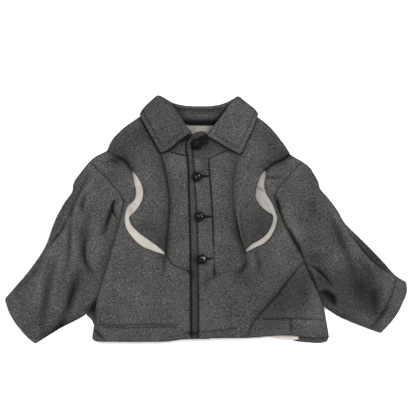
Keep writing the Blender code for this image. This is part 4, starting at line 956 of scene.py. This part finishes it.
# Section of the collar's back: a wall from the table up over the roll to the seam of the stand, first
# at its sides and then behind the neck
Section = namedtuple("Section", "inward height")
LOW_SECTION = [(0.0015, 1.0), (0.0, 0.86), (0.0, 0.45), (0.0040, 0.0)]
SECTIONS = [[Section(*row) for row in top + LOW_SECTION]
            for top in ([(0.0062, 0.94), (0.0040, 0.98)], [(0.0098, 0.84), (0.0050, 0.96)])]
SIDE_POINTS = 31            # points of the roll along the rear edge of a leaf
BACK_POINTS = 109           # and behind the neck
TURN_POINTS = 10            # points over which one section goes over to the other
SIDE_RUNS = ((0.30, 1.0), (0.0, 0.76))      # shares of the leaves' rear edges along which the roll runs on
right_end, left_end = [np.linspace(*run, SIDE_POINTS) for run in SIDE_RUNS]
crest = np.concatenate([curve(LEAF_TOP_R[::-1], right_end), curve(CREST_BACK, BACK_POINTS)[1:],
                        curve(LEAF_TOP_L, left_end)[1:]])
for _ in range(6):
    crest[1:-1] = (crest[:-2] + 2 * crest[1:-1] + crest[2:]) / 4
near_top = COLLAR_HEIGHT - LAYER_GAP
top_height = np.concatenate([np.linspace(END_HEIGHT, near_top, SIDE_POINTS),
                             np.full(BACK_POINTS - 1, COLLAR_HEIGHT),
                             np.linspace(near_top, END_HEIGHT, SIDE_POINTS)[1:]])
square = square_to(np.gradient(crest, axis=0))
number = np.arange(len(crest))
first, last = SIDE_POINTS - 1, SIDE_POINTS + BACK_POINTS - 1
behind = smooth(first, first + TURN_POINTS, number) * (1 - smooth(last - TURN_POINTS, last, number))


def collar_ring(k, inset):
    """The section of the collar's back at one place, moved in by an inset square to itself."""
    at_side, at_back = [np.array([(row.inward, row.height * top_height[k]) for row in table])
                        for table in SECTIONS]
    shape = curve((1 - behind[k]) * at_side + behind[k] * at_back, 20)
    inside = -square_to(np.gradient(shape, axis=0))
    inside[-1] = (1.0, 0.0)
    shape = shape + inset * inside
    return np.column_stack([crest[k] + shape[:, :1] * square[k], np.maximum(shape[:, 1], 0.0)])


inner, outer = [np.array([collar_ring(k, inset) for k in range(len(crest))]) for inset in (CLOTH, 0.0)]
# The back of the collar gets painted shade all over
cloth("collar_behind", inner, outer, wool_cloth, "wool", "collar_back", ["back_panel"],
      np.full(outer.shape[:2], COLLAR_SHADE))


# Sleeves: each a flattened tube of a top sleeve and an under sleeve, seamed near its outer edge and
# creased where the arm bends. The right one lies beside the body, the left one partly on it.
SLEEVE_EDGE = 0.005         # half height of a sleeve's rounded edge
SLEEVE_SEAM = 0.16          # share of a sleeve's width from its outer edge to the seam on top
SLEEVE_LENGTH = 0.49
SLEEVE_ROWS = 184
SLEEVE_ROUND = (2.6, 8)     # how full a sleeve's section is above, and below
RIM_SLOPE = (0.016, 0.0008)  # how far beside the body its top, and its underside, come down
CAP_END = 0.16              # share of its length over which its cap rises from the armhole
COMES_DOWN = 0.1            # share of its length over which it comes down from the body
SLEEVE_DROOP = (0.45, 1.0)  # shares of its width between which it droops to its inner edge
SLEEVE_TILT = (0.4, 0.9)    # and between which its rim goes over to the level of that edge
FOLD_GAIN = 2.2             # its folds lie deeper than in the table
SLEEVE_WAVES = 2.0          # and so do the waves of its cloth
SLEEVE_RIM = (0.55, 0.22)   # share of the cloth's thickness left at the armhole and at the cuff
CUFF_DIP = 1.2 * STITCH_DIP  # how far the cuff's stitching draws the cloth in
CUFF_SHADE = (0.36, 0.0030)  # how dark the painted shade along that stitching is, and how wide
END_SHADE = (0.36, 0.0022)  # the same for the painted shade at a sleeve's ends
RIM_SHADE = (0.34, 0.0028)  # for the painted shade along its outline
SLEEVE_SEAM_SHADE = (0.04, 0.0022)  # and for the painted shade along its seam on top
# Share of a sleeve's length, and its height there
SLEEVE_RISE = [(0.0, 0.015), (0.15, 0.020), (0.45, 0.025), (0.75, 0.024), (1.0, 0.017)]
SLEEVE_OUT_R = mm(-311.5, 159.5, -331.5, 134.5, -354.5, 97.5, -355.5, 85, -377.5, 51, -401, 6.5,
                  -429.5, -67.5, -469.5, -126.5, -511, -175.5, -534.5, -202.5)
SLEEVE_IN_R = mm(-222.2, 55.5, -227.1, 35, -231.6, 14.3, -238.6, -14.8, -248.1, -47.8, -255.6, -74.3,
                 -270.1, -126.8, -287.1, -179.8, -294.5, -207.5, -304.5, -228, -322, -243, -384.5, -277,
                 -454, -320)
CUFF_R = mm(-534.5, -202.5, -522.5, -236, -499, -273.5, -474.5, -303.5, -454, -320)
SLEEVE_OUT_L = mm(248.5, 159, 264, 147.5, 280.5, 124, 291, 103, 294.5, 89.5, 313.5, 66.5, 339, 33,
                  360, -2.5, 392.5, -35, 440, -82.5, 469, -113.5, 491.5, -138.5, 498.5, -144, 521.5, -157.5)
SLEEVE_IN_L = mm(175.5, 68.5, 185, 37, 200.5, 0, 219, -37, 240, -74.5, 255.3, -102.8, 267.3, -136.2,
                 279.3, -163.2, 294.8, -196.2, 304.3, -219.5, 329, -239, 400.5, -272, 455, -292)
CUFF_L = mm(521.5, -157.5, 522.5, -179.5, 509, -217, 485, -258, 455, -292)
SLEEVE_FOLDS_R = folds(
    (6.4, 7.6, -245.5, 58.1, -254, 31.7, -262.7, 5.3, -275.9, -37),
    (3.4, 8.4, -232.3, 59.1, -245.5, 54.9, -250.3, 42.2, -248.2, 27.7, -237.6, 5.3),
    (11, 4, -310.2, 39.6, -319.4, -7.9, -326.6, -52.8, -327.4, -89.8, -319.4, -116.2, -298.3, -150.5),
    (3.8, 3.2, -320.8, -37, -325.2, -79.2, -321.6, -103, -312.8, -121.4, -298.3, -145.2),
    (11, 5.6, -332.6, -116.2, -348.5, -163.7, -359, -198, -367, -224.4, -382.8, -258.7, -398.6, -293),
    (6, 1.6, -349.8, -158.4, -361.7, -198, -370.9, -235),
    (9.5, 4.2, -396, -89.8, -411.8, -137.3, -419.8, -174.2, -426.4, -208.6, -433, -245.5, -440.9, -295.7),
    (4.4, 3, -356.4, 44.9, -360.4, -7.9, -363, -60.7, -368.3, -105.6, -376.2, -139.9, -381.5, -176.9),
    (4.2, 3, -306.2, 139.9, -327.4, 95, -345.8, 58.1, -360.4, 23.8, -374.9, -10.6),
    (2.8, 4.6, -368.3, 5.3, -385.4, -23.8, -406.6, -50.2, -431.6, -81.8),
    (5, 3.6, -318.1, 87.1, -328.7, 50.2, -330, 18.5),
    (4.5, 2.4, -430.3, -81.8, -440.9, -108.2, -454.1, -132, -472.6, -155.8, -499, -182.2),
    (6.8, -3.2, -287.8, 126.7, -316.8, 84.5, -337.9, 52.8, -347.2, 21.1, -349.8, -34.3, -351.1, -100.3),
    (9, -2.4, -374.9, -26.4, -393.4, -58.1, -411.8, -92.4),
    (8, -2.6, -385.4, -108.2, -396, -153.1, -403.9, -200.6, -409.2, -242.9),
    (12, -2, -293, 5.3, -290.4, -47.5, -293, -105.6),
    (6, -2.4, -235, 50.2, -233.6, 34.3, -233.6, 13.2),
    (8, -1.8, -430.3, -105.6, -440.9, -153.1, -454.1, -203.3),
)
SLEEVE_FOLDS_L = folds(
    (9.5, 3.4, 316.8, 26.4, 331.3, -7.9, 341.9, -37, 353.8, -66, 365.6, -92.4, 374.9, -116.2,
     382.8, -142.6),
    (5.5, 1, 337.9, -18.5, 348.5, -44.9, 357.7, -66, 368.3, -89.8),
    (12, 1.8, 269.3, 63.4, 274.6, 37, 277.2, 10.6),
    (3.4, 4.4, 250.8, -103, 271.9, -116.2, 287.8, -125.4, 303.6, -139.9, 316.8, -155.8, 328.7, -174.2),
    (8.5, 2.1, 388.1, -92.4, 411.8, -113.5, 426.4, -134.6, 430.3, -169),
    (13, 0.7, 377.5, -121.4, 388.1, -145.2, 393.4, -174.2, 396, -216.5),
    (5.6, 8, 290.4, -187.4, 312.8, -185.6, 324.7, -195.4, 335.3, -224.4),
    (3, 4.6, 361.7, -15.8, 382.8, -43.6, 403.9, -71.3, 425, -95, 446.2, -113.5, 469.9, -129.4,
     488.4, -142.6),
    (11, 1.8, 245.5, -95, 282.5, -92.4, 324.7, -89.8),
    (8, -3, 319.4, 37, 351.1, -13.2, 377.5, -52.8, 403.9, -84.5, 438.2, -118.8),
    (18, -2, 203.3, 50.2, 221.8, 0, 248.2, -52.8),
    (8, -1.4, 298.3, -108.2, 330, -137.3, 351.1, -155.8),
    (11, -1.8, 469.9, -150.5, 464.6, -192.7, 446.2, -237.6),
    (10, 1, 430.3, -174.2, 438.2, -205.9, 436.9, -248.2),
)
# Broad painted half shades on the sleeves, in their hollows, beside the body and along their edges; a
# negative darkness is a painted highlight
SLEEVE_SHADES_R = shades(
    (20, 0.34, -227, 21.1, -245.5, -42.2, -258.7, -89.8, -271.9, -137.3, -285.1, -179.5, -293, -216.5),
    (10, 0.8, -287.8, -198, -303.6, -221.8, -322.1, -240.2),
    (13, 0.42, -311.5, -237.6, -364.3, -264, -411.8, -293, -454.1, -316.8),
    (14, 0.28, -316.8, 147.8, -348.5, 89.8, -369.6, 42.2, -390.7, 0, -414.5, -52.8),
    (9, 0.24, -433, -84.5, -459.4, -126.7, -485.8, -158.4, -517.4, -192.7),
    (26, 0.14, -322.1, -121.4, -322.1, -166.3, -327.4, -211.2),
    (14, 0.24, -374.9, -258.7, -411.8, -282.5, -448.8, -306.2),
    (30, -0.09, -374.9, -26.4, -396, -105.6, -417.1, -179.5),
)
SLEEVE_SHADES_L = shades(
    (6.2, 0.56, 176.9, 73.9, 187.4, 26.4, 203.3, -10.6, 221.8, -47.5, 242.9, -84.5, 256.1, -116.2),
    (7, 0.55, 178.2, 68.6, 184.8, 42.2, 188.8, 13.2),
    (5.5, 0.62, 256.1, -105.6, 274.6, -147.8, 295.7, -190.1),
    (56, 0.33, 343.2, -89.8, 380.2, -153.1, 417.1, -205.9, 435.6, -264),
    (34, 0.24, 285.1, -95, 335.3, -174.2, 385.4, -253.4),
    (8.5, 0.56, 377.5, -26.4, 417.1, -71.3, 454.1, -108.2, 488.4, -139.9),
    (12, 0.28, 290.4, -213.8, 348.5, -245.5, 427.7, -279.8),
    (12, 0.12, 440.9, -147.8, 435.6, -205.9, 446.2, -253.4),
    (60, 0.25, 203.3, 110.9, 248.2, 44.9, 290.4, -34.3, 322.1, -105.6),
    (13, 0.56, 290.4, -200.6, 311.5, -198, 330, -216.5),
    (6.6, 0.62, 207.2, -10.6, 223.1, -42.2, 237.6, -68.6, 250.8, -95),
    (34, 0.3, 385.4, -100.3, 406.6, -153.1, 417.1, -200.6, 414.5, -253.4),
    (10, 0.2, 248.2, 153.1, 274.6, 118.8, 293, 87.1),
    (16, 0.28, 250.8, -87.1, 282.5, -105.6, 316.8, -137.3),
    (20, 0.16, 451.4, -163.7, 448.8, -219.1, 430.3, -269.3),
    (4, 0.45, 477.8, -211.2, 454.1, -250.8, 425, -285.1),
    (13, 0.26, 274.6, -126.7, 293, -153.1, 314.2, -179.5),
)
CUFF_STITCH = [
    mm(493.5, -149, 483.1, -184.8, 467.3, -219.1, 448.8, -248.2, 427.7, -277.2),
    mm(-506, -176, -490, -206, -470, -240, -449, -268, -423, -298),
]
near_seam = np.array([0.0016, 0.0040, 0.0080, 0.0140])
# Shares of a sleeve's width at which its top has points, closer together at its edges and its seam
ACROSS = np.concatenate([SLEEVE_SEAM * (1 - np.cos(np.linspace(0, 1.40, 24))), SLEEVE_SEAM - near_seam[1::-1],
                         [SLEEVE_SEAM], SLEEVE_SEAM + near_seam,
                         SLEEVE_SEAM + 0.022 + 0.818 * np.sin(np.linspace(0, math.pi / 2, 84))])
CUFF_LINES = [curve(run, 24) for run in CUFF_STITCH]


def body_top(flat, side, beside):
    """Top of the body under a sleeve, down to zero at a distance beside its side edge."""
    apart, _, which = nearest(side, flat)
    inside = apart * which
    rim = (2 * CLOTH + SEAM_GAP + LAYER_GAP) * smooth(-beside, 0.0, inside)
    return np.where(inside > 0, front_lie(flat) + CLOTH + LAYER_GAP, rim)


def sleeve(side, out_run, in_run, armhole, cuff, side_run, turn, creases, dusk, on_body, on_rim, droop):
    """A two-piece sleeve. It lies on the body for one share of its length, its inner edge has no painted dark
    outline for another, and it droops towards that edge."""
    place = patch(*[[(run, 25)] for run in (out_run, in_run, armhole, cuff)])
    share = spread(SLEEVE_LENGTH, SLEEVE_ROWS)[:, None]
    flat = place(np.broadcast_to(ACROSS, (len(share), len(ACROSS))), share)
    edge_run = curve(side_run, 60)[::turn]
    lies_on = 1 - smooth(on_body - COMES_DOWN, on_body, share)
    floor, bed = [body_top(flat, edge_run, beside) * lies_on for beside in RIM_SLOPE]
    rise = np.interp(share, *np.transpose(SLEEVE_RISE)) * (1 - droop * smooth(*SLEEVE_DROOP, ACROSS))
    creased = fold_depth(creases, flat)
    top = floor + rise - FOLD_GAIN * creased + SLEEVE_WAVES * unevenness(flat)
    top = top - groove(CUFF_LINES, flat, CUFF_DIP, STITCH_SPREAD)
    at_seam = 1 - smooth(0.0, CAP_END, share)
    top = at_seam * (front_lie(flat) + CLOTH) + (1 - at_seam) * top
    rim = floor[:, :1] + (floor[:, -1:] - floor[:, :1]) * smooth(*SLEEVE_TILT, ACROSS) + SLEEVE_EDGE
    top = np.maximum(top, np.maximum(floor + 3 * CLOTH, rim + CLOTH))
    above, underneath = [np.clip(1 - np.abs(2 * ACROSS - 1) ** full, 0, 1) ** (1 / full)
                         for full in SLEEVE_ROUND]
    over = rim + (top - rim) * above
    under = bed + SLEEVE_EDGE * (1 - underneath)
    below = np.arange(len(ACROSS) - 2, 0, -2)
    ring = np.concatenate([at_height(flat, over), at_height(flat, under)[:, below]], axis=1)
    across = np.gradient(flat, axis=1)
    across = across / np.linalg.norm(across, axis=-1)[..., None]
    across = np.concatenate([across, across[:, below]], axis=1)
    tangent = np.roll(ring, -1, axis=1) - np.roll(ring, 1, axis=1)
    forward = (tangent[..., :2] * across).sum(-1)
    rising = tangent[..., 2]
    length = np.hypot(forward, rising)[..., None]
    inward = np.concatenate([rising[..., None] * across, -forward[..., None]], axis=-1) / length
    inner = ring + CLOTH * inward
    seam = int(np.argmin(np.abs(ACROSS - SLEEVE_SEAM)))
    last = len(ACROSS) - 1
    count = ring.shape[1]
    wide = np.linalg.norm(flat[:, -1] - flat[:, 0], axis=-1)[:, None]
    aside = np.abs(np.concatenate([ACROSS, np.full(len(below), 1.0)]) - SLEEVE_SEAM) * wide
    inset = np.broadcast_to(np.minimum(share, 1 - share) * SLEEVE_LENGTH, aside.shape)
    left_at_rim = np.where(share < 0.5, *SLEEVE_RIM)
    ring = ring + CLOTH * inward * (1 - rounded(inset, RIM_ROUND_WIDTH, left_at_rim))[..., None]
    # Painted shade: over all the cloth, at the ends and along the seam, in the folds, under the cuff
    # stitching, in broad half shades and along the outline; ridges are painted lighter
    dark = PAINTED_SHADE_BASE + END_SHADE[0] * bell(inset, END_SHADE[1])
    dark = dark + SLEEVE_SEAM_SHADE[0] * bell(aside, SLEEVE_SEAM_SHADE[1])
    rim_apart = np.minimum(ACROSS * wide, (1 - ACROSS) * wide + (share < on_rim))
    dark[:, :last + 1] += (FOLD_SHADE * creased + groove(CUFF_LINES[:1], flat, *CUFF_SHADE)
                           + fold_depth(dusk, flat) + RIM_SHADE[0] * bell(rim_apart, RIM_SHADE[1]))
    shift = np.concatenate([across[:, seam], np.zeros((len(share), 1))], axis=1) * SEAM_GAP / 2
    for part, way, columns, rests_on in (
            ("top", 1, list(range(seam, last + 1)), ["under_sleeve_" + side]),
            ("under", -1, [k % count for k in range(last, count + seam + 1)], [])):
        skins = [inner[:, columns], ring[:, columns]]
        at_top, at_rim = (0, -1)[::way]
        for skin in skins:
            skin[:, at_top] += way * shift
            skin[:, at_rim, 2] += way * SEAM_GAP / 2
        cloth("sleeve_%s_%s" % (part, side), *skins, wool_cloth, "wool", "%s_sleeve_%s" % (part, side),
              rests_on, dark[:, columns])


sleeve("right", SLEEVE_OUT_R, SLEEVE_IN_R, ARMHOLE_R, CUFF_R, SIDE_R, 1, SLEEVE_FOLDS_R, SLEEVE_SHADES_R,
       on_body=0.16, on_rim=0.66, droop=0.5)
sleeve("left", SLEEVE_OUT_L, SLEEVE_IN_L, ARMHOLE_L, CUFF_L, SIDE_L + FLANK_L[1:], -1, SLEEVE_FOLDS_L,
       SLEEVE_SHADES_L, on_body=0.48, on_rim=0.60, droop=0.25)


# Lining: cream twill that shows in the two curved slits, at the back of the neck and below the left
# hem, where it is sewn in behind the wool.
LINING = 0.0012             # thickness of the twill
LINING_TUCK = 0.0025        # how far it runs in behind the wool
LINING_DROP = 0.0011        # how far below the wool's underside it lies
LINING_FOLDS = folds((3.5, 1.2, -208.6, 50.2, -198, 37, -182.2, 23.8),
                     (3.5, 1.2, 142.6, 68.6, 155.8, 50.2, 169, 29))
# Painted shade in the lining's creases and where the wool's edges overhang it
LINING_SHADES = shades(
    (3.6, 0.5, -198, 134.6, -192.7, 116.2, -186.1, 100.3),
    (2.2, 0.4, -204.6, 50.2, -194, 48.6, -183.5, 39.6),
    (6.5, 0.3, -208.6, 42.2, -202, 31.7, -203.3, 15.8),
    (3.6, 0.16, -182.2, -26.4, -153.1, -47.5, -121.4, -71.3),
    (18, 0.14, -187.4, 103, -179.5, 76.6, -187.4, 50.2),
    (6, 0.45, 142.6, 134.6, 150.5, 124.1, 147.8, 108.2),
    (2.2, 0.5, 126.7, 95, 137.3, 87.1, 149.2, 79.2),
    (2.6, 0.28, 145.2, 63.4, 154.4, 47.5, 162.4, 31.7, 169, 15.8),
    (16, 0.4, 142.6, 132, 133.3, 95, 134.6, 58.1, 153.1, 34.3),
    (4, 0.25, 171.6, 13.2, 176.9, 2.6, 171.6, -15.8),
)


def twill(name, tone):
    """Cream twill: fine slanting ribs and a faint warm unevenness, darkened where painted shade lies on a
    piece.
    """
    finish, shader, place = new_finish(name)
    slant = place.node("ShaderNodeMapping", {}, {"Vector": place, "Rotation": (0.0, 0.0, math.radians(38))})
    rib = place.node("ShaderNodeTexWave", {}, {"Vector": slant, "Scale": 260.0, "Distortion": 0.6,
                                               "Detail": 1.0, "Detail Scale": 3.0})
    stops = ((0.25, (0.255, 0.236, 0.214)), (0.5, (0.300, 0.280, 0.256)), (0.75, (0.335, 0.317, 0.294)))
    ribbed = (place.noise(45.0, 3.0) * 0.7 + rib * 0.3).ramp(
        *[(at, tuple(tone * c for c in colour)) for at, colour in stops])
    place.fill(shader, {"Base Color": ribbed.in_painted_shades((0.045, 0.038, 0.030)),
                        "Normal": rib.bump(0.3, 0.0004), "Roughness": 0.7, "Specular IOR Level": 0.3})
    return finish


# The left slit's lining is a darker copy of the twill, painted in the shade of the wool beside it
for side, slit_in, slit_out, lie, finish in (
        ("right", SLIT_IN_R, SLIT_OUT_R, front_lie, twill("cream_twill", 1.00)),
        ("left", SLIT_IN_L, SLIT_OUT_L, left_lie, twill("cream_twill_shade", 0.80))):
    one, other = curve(slit_in, 170), curve(slit_out, 170)
    square = square_to(np.gradient((one + other) / 2, axis=0))
    away = np.sign((square * (one - other)).sum()) * LINING_TUCK * square
    across = np.linspace(0, 1, 14)[None, :, None]
    flat = (1 - across) * (one + away)[:, None] + across * (other - away)[:, None]
    low = lie(flat) - LINING_DROP - LINING - fold_depth(LINING_FOLDS, flat)
    cloth("lining_in_slit_" + side, at_height(flat, low), at_height(flat, low + LINING), finish, "lining",
          "lining_slit_" + side, ["back_panel"], fold_depth(LINING_SHADES, flat))


def lining_lie(flat, *shares):
    """Lining that lies on the inside of the back."""
    return np.full(flat.shape[:-1], CLOTH + SEAM_GAP)


NECK_LINING = mm(-95, 257.5, -70, 255, -21, 253.5, 30, 255, 55, 257.5)
HEM_LINING = mm(145, -299.5, 160, -302.5, 219, -310.5, 238, -308.5)
# The neck's lining is a darker copy of the twill, painted as the shade under the collar, and the hem's a much
# lighter copy, painted bright
for name, run, up, down, finish in (("neck", NECK_LINING, 0.0, 0.045, twill("cream_twill_neck", 0.60)),
                                    ("hem", HEM_LINING, 0.028, 0.0, twill("cream_twill_hem", 1.9))):
    top, low = [[(x, y + lift) for x, y in run] for lift in (up, -down)]
    panel("lining_at_" + name, patch([([top[0], low[0]], 3)], [([top[-1], low[-1]], 3)],
                                     [(top, 9)], [(low, 9)]),
          lining_lie, "lining_" + name, ["back_panel"], thickness=LINING, finish=finish, slot="lining",
          hollow=lambda flat, inset: 0 * inset)


# Topstitching: dark grey sewing thread in small even stitches, sewn through the collar, the strip, the
# hems and the cuffs.
STITCH_LENGTH = 0.0036
STITCH_PITCH = 0.0048
STITCH_RADIUS = 0.0006
DROP_FROM = 0.2             # height from which the cloth under a stitch is looked for
STRIP_STITCH = (0.0032, -0.0028)    # from the strip's left and right edges in to their stitching
SIX = [(math.cos(k * math.pi / 3), math.sin(k * math.pi / 3)) for k in range(6)]
# Place of a stitch's rings of six points along it, and their share of its radius; a point closes each end
STITCH_RINGS = [(-0.38, 0.75), (0.0, 1.0), (0.38, 0.75)]
STITCH_FACES = [face for k, m in zip(range(6), [1, 2, 3, 4, 5, 0]) for face in (
    (0, 1 + m, 1 + k), (1 + k, 1 + m, 7 + m, 7 + k), (7 + k, 7 + m, 13 + m, 13 + k), (19, 13 + k, 13 + m))]


def thread(name, colour):
    """Twisted sewing thread: fine turns of light and dark along it."""
    finish, shader, place = new_finish(name)
    tint = place.noise(2400.0, 1.0).ramp((0.3, colour), (0.7, tuple(1.9 * c for c in colour)))
    place.fill(shader, {"Base Color": tint, "Roughness": 0.8, "Specular IOR Level": 0.05})
    return finish


grey_thread = thread("grey_thread", (0.013, 0.013, 0.0135))


def drop_on(trees, x, y):
    """The highest place of some pieces below a point, and the slope of the cloth there."""
    best = None
    for tree in trees:
        hit, normal, _, _ = tree.ray_cast(Vector((x, y, DROP_FROM)), Vector((0.0, 0.0, -1.0)))
        if hit and (best is None or hit.z > best[0].z):
            best = (hit, normal)
    return best


def tree_of(piece):
    """A search tree of a finished piece."""
    return BVHTree.FromPolygons([v.co for v in piece.data.vertices],
                                [p.vertices for p in piece.data.polygons])


def stitches(name, runs, targets, finish=grey_thread, length=STITCH_LENGTH, pitch=STITCH_PITCH,
             radius=STITCH_RADIUS, turned=False):
    """Stitches one after another along runs, laid on the pieces below them."""
    trees = [tree_of(bpy.data.objects[target]) for target in targets]
    points, faces = [], []
    for run in runs:
        total = float(length_of(run))
        steps = max(int(total / pitch), 1)
        centres = even(run, (np.arange(steps) + 0.5) / steps)
        ahead = np.gradient(even(run, np.linspace(0, 1, steps + 1)), axis=0)[:-1]
        for (x, y), (dx, dy) in zip(centres, ahead):
            spot = drop_on(trees, x, y)
            if spot is None:
                continue
            hit, normal = spot
            forward = Vector((-dy, dx, 0.0)) if turned else Vector((dx, dy, 0.0))
            forward = (forward - normal * forward.dot(normal)).normalized()
            aside = normal.cross(forward)
            faces += [tuple(len(points) + k for k in face) for face in STITCH_FACES]
            points.append(hit - forward * length * 0.5)
            points += [hit + forward * length * along + (aside * c + normal * s) * radius * thick
                       for along, thick in STITCH_RINGS for c, s in SIX]
            points.append(hit + forward * length * 0.5)
    add_piece(name, points, faces, finish, [])


stitches("stitching_collar_right", sewn_right, ["collar_right"])
stitches("stitching_collar_left", sewn_left, ["collar_left"])
stitches("stitching_hems", HEM_LINES, ["front_outer_right", "front_outer_left", "front_side_panel"])
stitches("stitching_cuffs", CUFF_LINES, ["sleeve_top_right", "sleeve_top_left", "sleeve_under_right",
                                         "sleeve_under_left"])
strip_edges = [np.concatenate([curve(top, 12), curve(middle, 60)[1:], curve(low, 40)[1:]]) + (inset, 0.0)
               for top, middle, low, inset in (
                   (EDGE_RIGHT[3:], EDGE_RIGHT_BAND, EDGE_RIGHT_LOW, STRIP_STITCH[1]),
                   (EDGE_LEFT[5:], EDGE_LEFT_BIB, EDGE_LEFT_LOW, STRIP_STITCH[0]))]
stitches("stitching_strip", strip_edges, ["closing_strip"])


# Buttons: four strands of dark leather, woven into a knot over a domed core and polished by wear. Each
# button stands on a short shank that is sewn to the closing.
BUTTON_WIDTH = 0.025
BUTTON_HEIGHT = 0.011
STRAND = 0.0011             # thickness of a strand
# Shares of a button's half width
LANE = 0.46                 # from its middle to that of a strand
STRAND_HALF = 0.47          # half width of a strand
STRAND_STOP = 0.97          # beyond this a strand gets no shorter
WEAVE = 0.92                # length of a strand over or under one other
CORE_HALF = 0.97
DOME = 1.02                 # square of the dome's own half width
# Shares of its height
STRAND_FOOT, STRAND_DOME, STRAND_WEAVE, STRAND_CROWN = 0.26, 0.50, 0.085, 0.13
CORE_MIDDLE, CORE_UP, CORE_DOWN = 0.47, 0.40, 0.27
SHANK_HEIGHT = 0.3
SHANK_RADIUS = 0.20         # share of its whole width


def leather(name, dull, shine):
    """Dark brown polished leather with a fine grain and paler wear."""
    finish, shader, place = new_finish(name)
    grain = place.node("ShaderNodeTexVoronoi", {}, {"Vector": place, "Scale": 1100.0}, "Distance")
    wear = place.noise(260.0, 3.0)
    worn = wear.ramp((0.35, (0.0030, 0.0026, 0.0024)), (0.75, (0.0056, 0.0048, 0.0044)))
    place.fill(shader, {"Base Color": worn, "Roughness": wear * 0.12 + dull,
                        "Normal": grain.bump(0.08, 0.0002), "Specular IOR Level": shine})
    return finish


def knotted_button(name, node, turned, finish):
    """One knotted button: four strands woven over and under each other on a dome, and its shank."""
    low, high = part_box(node)
    middle = Vector(((low.x + high.x) / 2, (low.y + high.y) / 2, low.z))
    half = BUTTON_WIDTH / 2
    bpy.ops.object.select_all(action="DESELECT")
    strands = []
    for turn in (0, 1):
        for lane in (-1, 1):
            bpy.ops.mesh.primitive_grid_add(x_subdivisions=32, y_subdivisions=12, size=2.0,
                                            location=(0.0, 0.0, 0.0))
            strand = bpy.context.object
            for vertex in strand.data.vertices:
                x, y = vertex.co.x, vertex.co.y
                aside = lane * LANE + y * STRAND_HALF
                reach = math.sqrt(max(1 - min(abs(aside), STRAND_STOP) ** 2, 0.0))
                along = x * reach
                weave = math.sin(math.pi * along / WEAVE) * lane * (1 if turn else -1)
                dome = math.sqrt(max(DOME - along * along - aside * aside, 0.0))
                crown = 1 - abs(y) ** 4
                height = STRAND_FOOT + STRAND_DOME * dome + STRAND_WEAVE * weave + STRAND_CROWN * crown
                vertex.co = (along * half, aside * half, height * BUTTON_HEIGHT)
            if turn:
                strand.data.transform(Matrix.Rotation(math.pi / 2, 4, "Z"))
            strands.append(strand)
    bpy.ops.mesh.primitive_uv_sphere_add(segments=40, ring_count=20, radius=1.0, location=(0.0, 0.0, 0.0))
    core = bpy.context.object
    for vertex in core.data.vertices:
        x, y, z = vertex.co
        height = CORE_MIDDLE + (CORE_UP if z > 0 else CORE_DOWN) * z
        vertex.co = (x * half * CORE_HALF, y * half * CORE_HALF, height * BUTTON_HEIGHT)
    bpy.ops.mesh.primitive_cylinder_add(vertices=24, radius=SHANK_RADIUS * BUTTON_WIDTH,
                                        depth=SHANK_HEIGHT * BUTTON_HEIGHT,
                                        location=(0.0, 0.0, SHANK_HEIGHT / 2 * BUTTON_HEIGHT))
    shank = bpy.context.object
    for strand in strands:
        bpy.context.view_layer.objects.active = strand
        wall = strand.modifiers.new("wall", "SOLIDIFY")
        wall.thickness = STRAND
        wall.offset = -1.0
        bpy.ops.object.modifier_apply(modifier=wall.name)
    bpy.ops.object.select_all(action="DESELECT")
    for thing in strands + [core, shank]:
        thing.select_set(True)
    bpy.context.view_layer.objects.active = core
    bpy.ops.object.join()
    bpy.ops.object.transform_apply(location=True, rotation=True, scale=True)
    core.name = name
    core.data.transform(Matrix.Translation(middle) @ Matrix.Rotation(math.radians(turned), 4, "Z"))
    core.data.materials.clear()
    core.data.materials.append(finish)
    core.data.shade_smooth()
    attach(core, "root")
    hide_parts(node)


polished = leather("knotted_leather", 0.07, 0.30)
shaded = leather("shaded_leather", 0.50, 0.10)      # a duller, less shiny copy that paints the collar's shade on the top button
for number, turned, finish in ((1, 20, shaded), (2, 70, polished), (3, 35, polished), (4, 5, polished)):
    knotted_button("leather_button_%d" % number, "button_%d" % number, turned, finish)


# Buttonholes: worked by hand in black thread, one level with each button, from under it out to the
# right edge of the band.
HOLE_LIP = 0.0013           # from the slit to the middle of the thread beside it
ON_BAND = ["closing_band", "closing_strip", "stand_end_left"]
black_thread = thread("black_thread", (0.006, 0.006, 0.006))
lips = []
slits = []
for spot, hole_end in zip(BUTTONS, HOLE_ENDS):
    run = np.linspace(spot, hole_end, 12)[1:]
    aside = HOLE_LIP * square_to(run[-1:] - run[:1])
    lips += [run - aside, run + aside]
    slits.append(run)
stitches("buttonhole_lips", lips, ON_BAND, black_thread, length=0.0026, pitch=0.0010, radius=0.00060,
         turned=True)
stitches("buttonhole_slits", slits, ON_BAND, black_thread, length=0.0032, pitch=0.0024, radius=0.0005)

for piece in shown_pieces():
    piece.select_set(False)
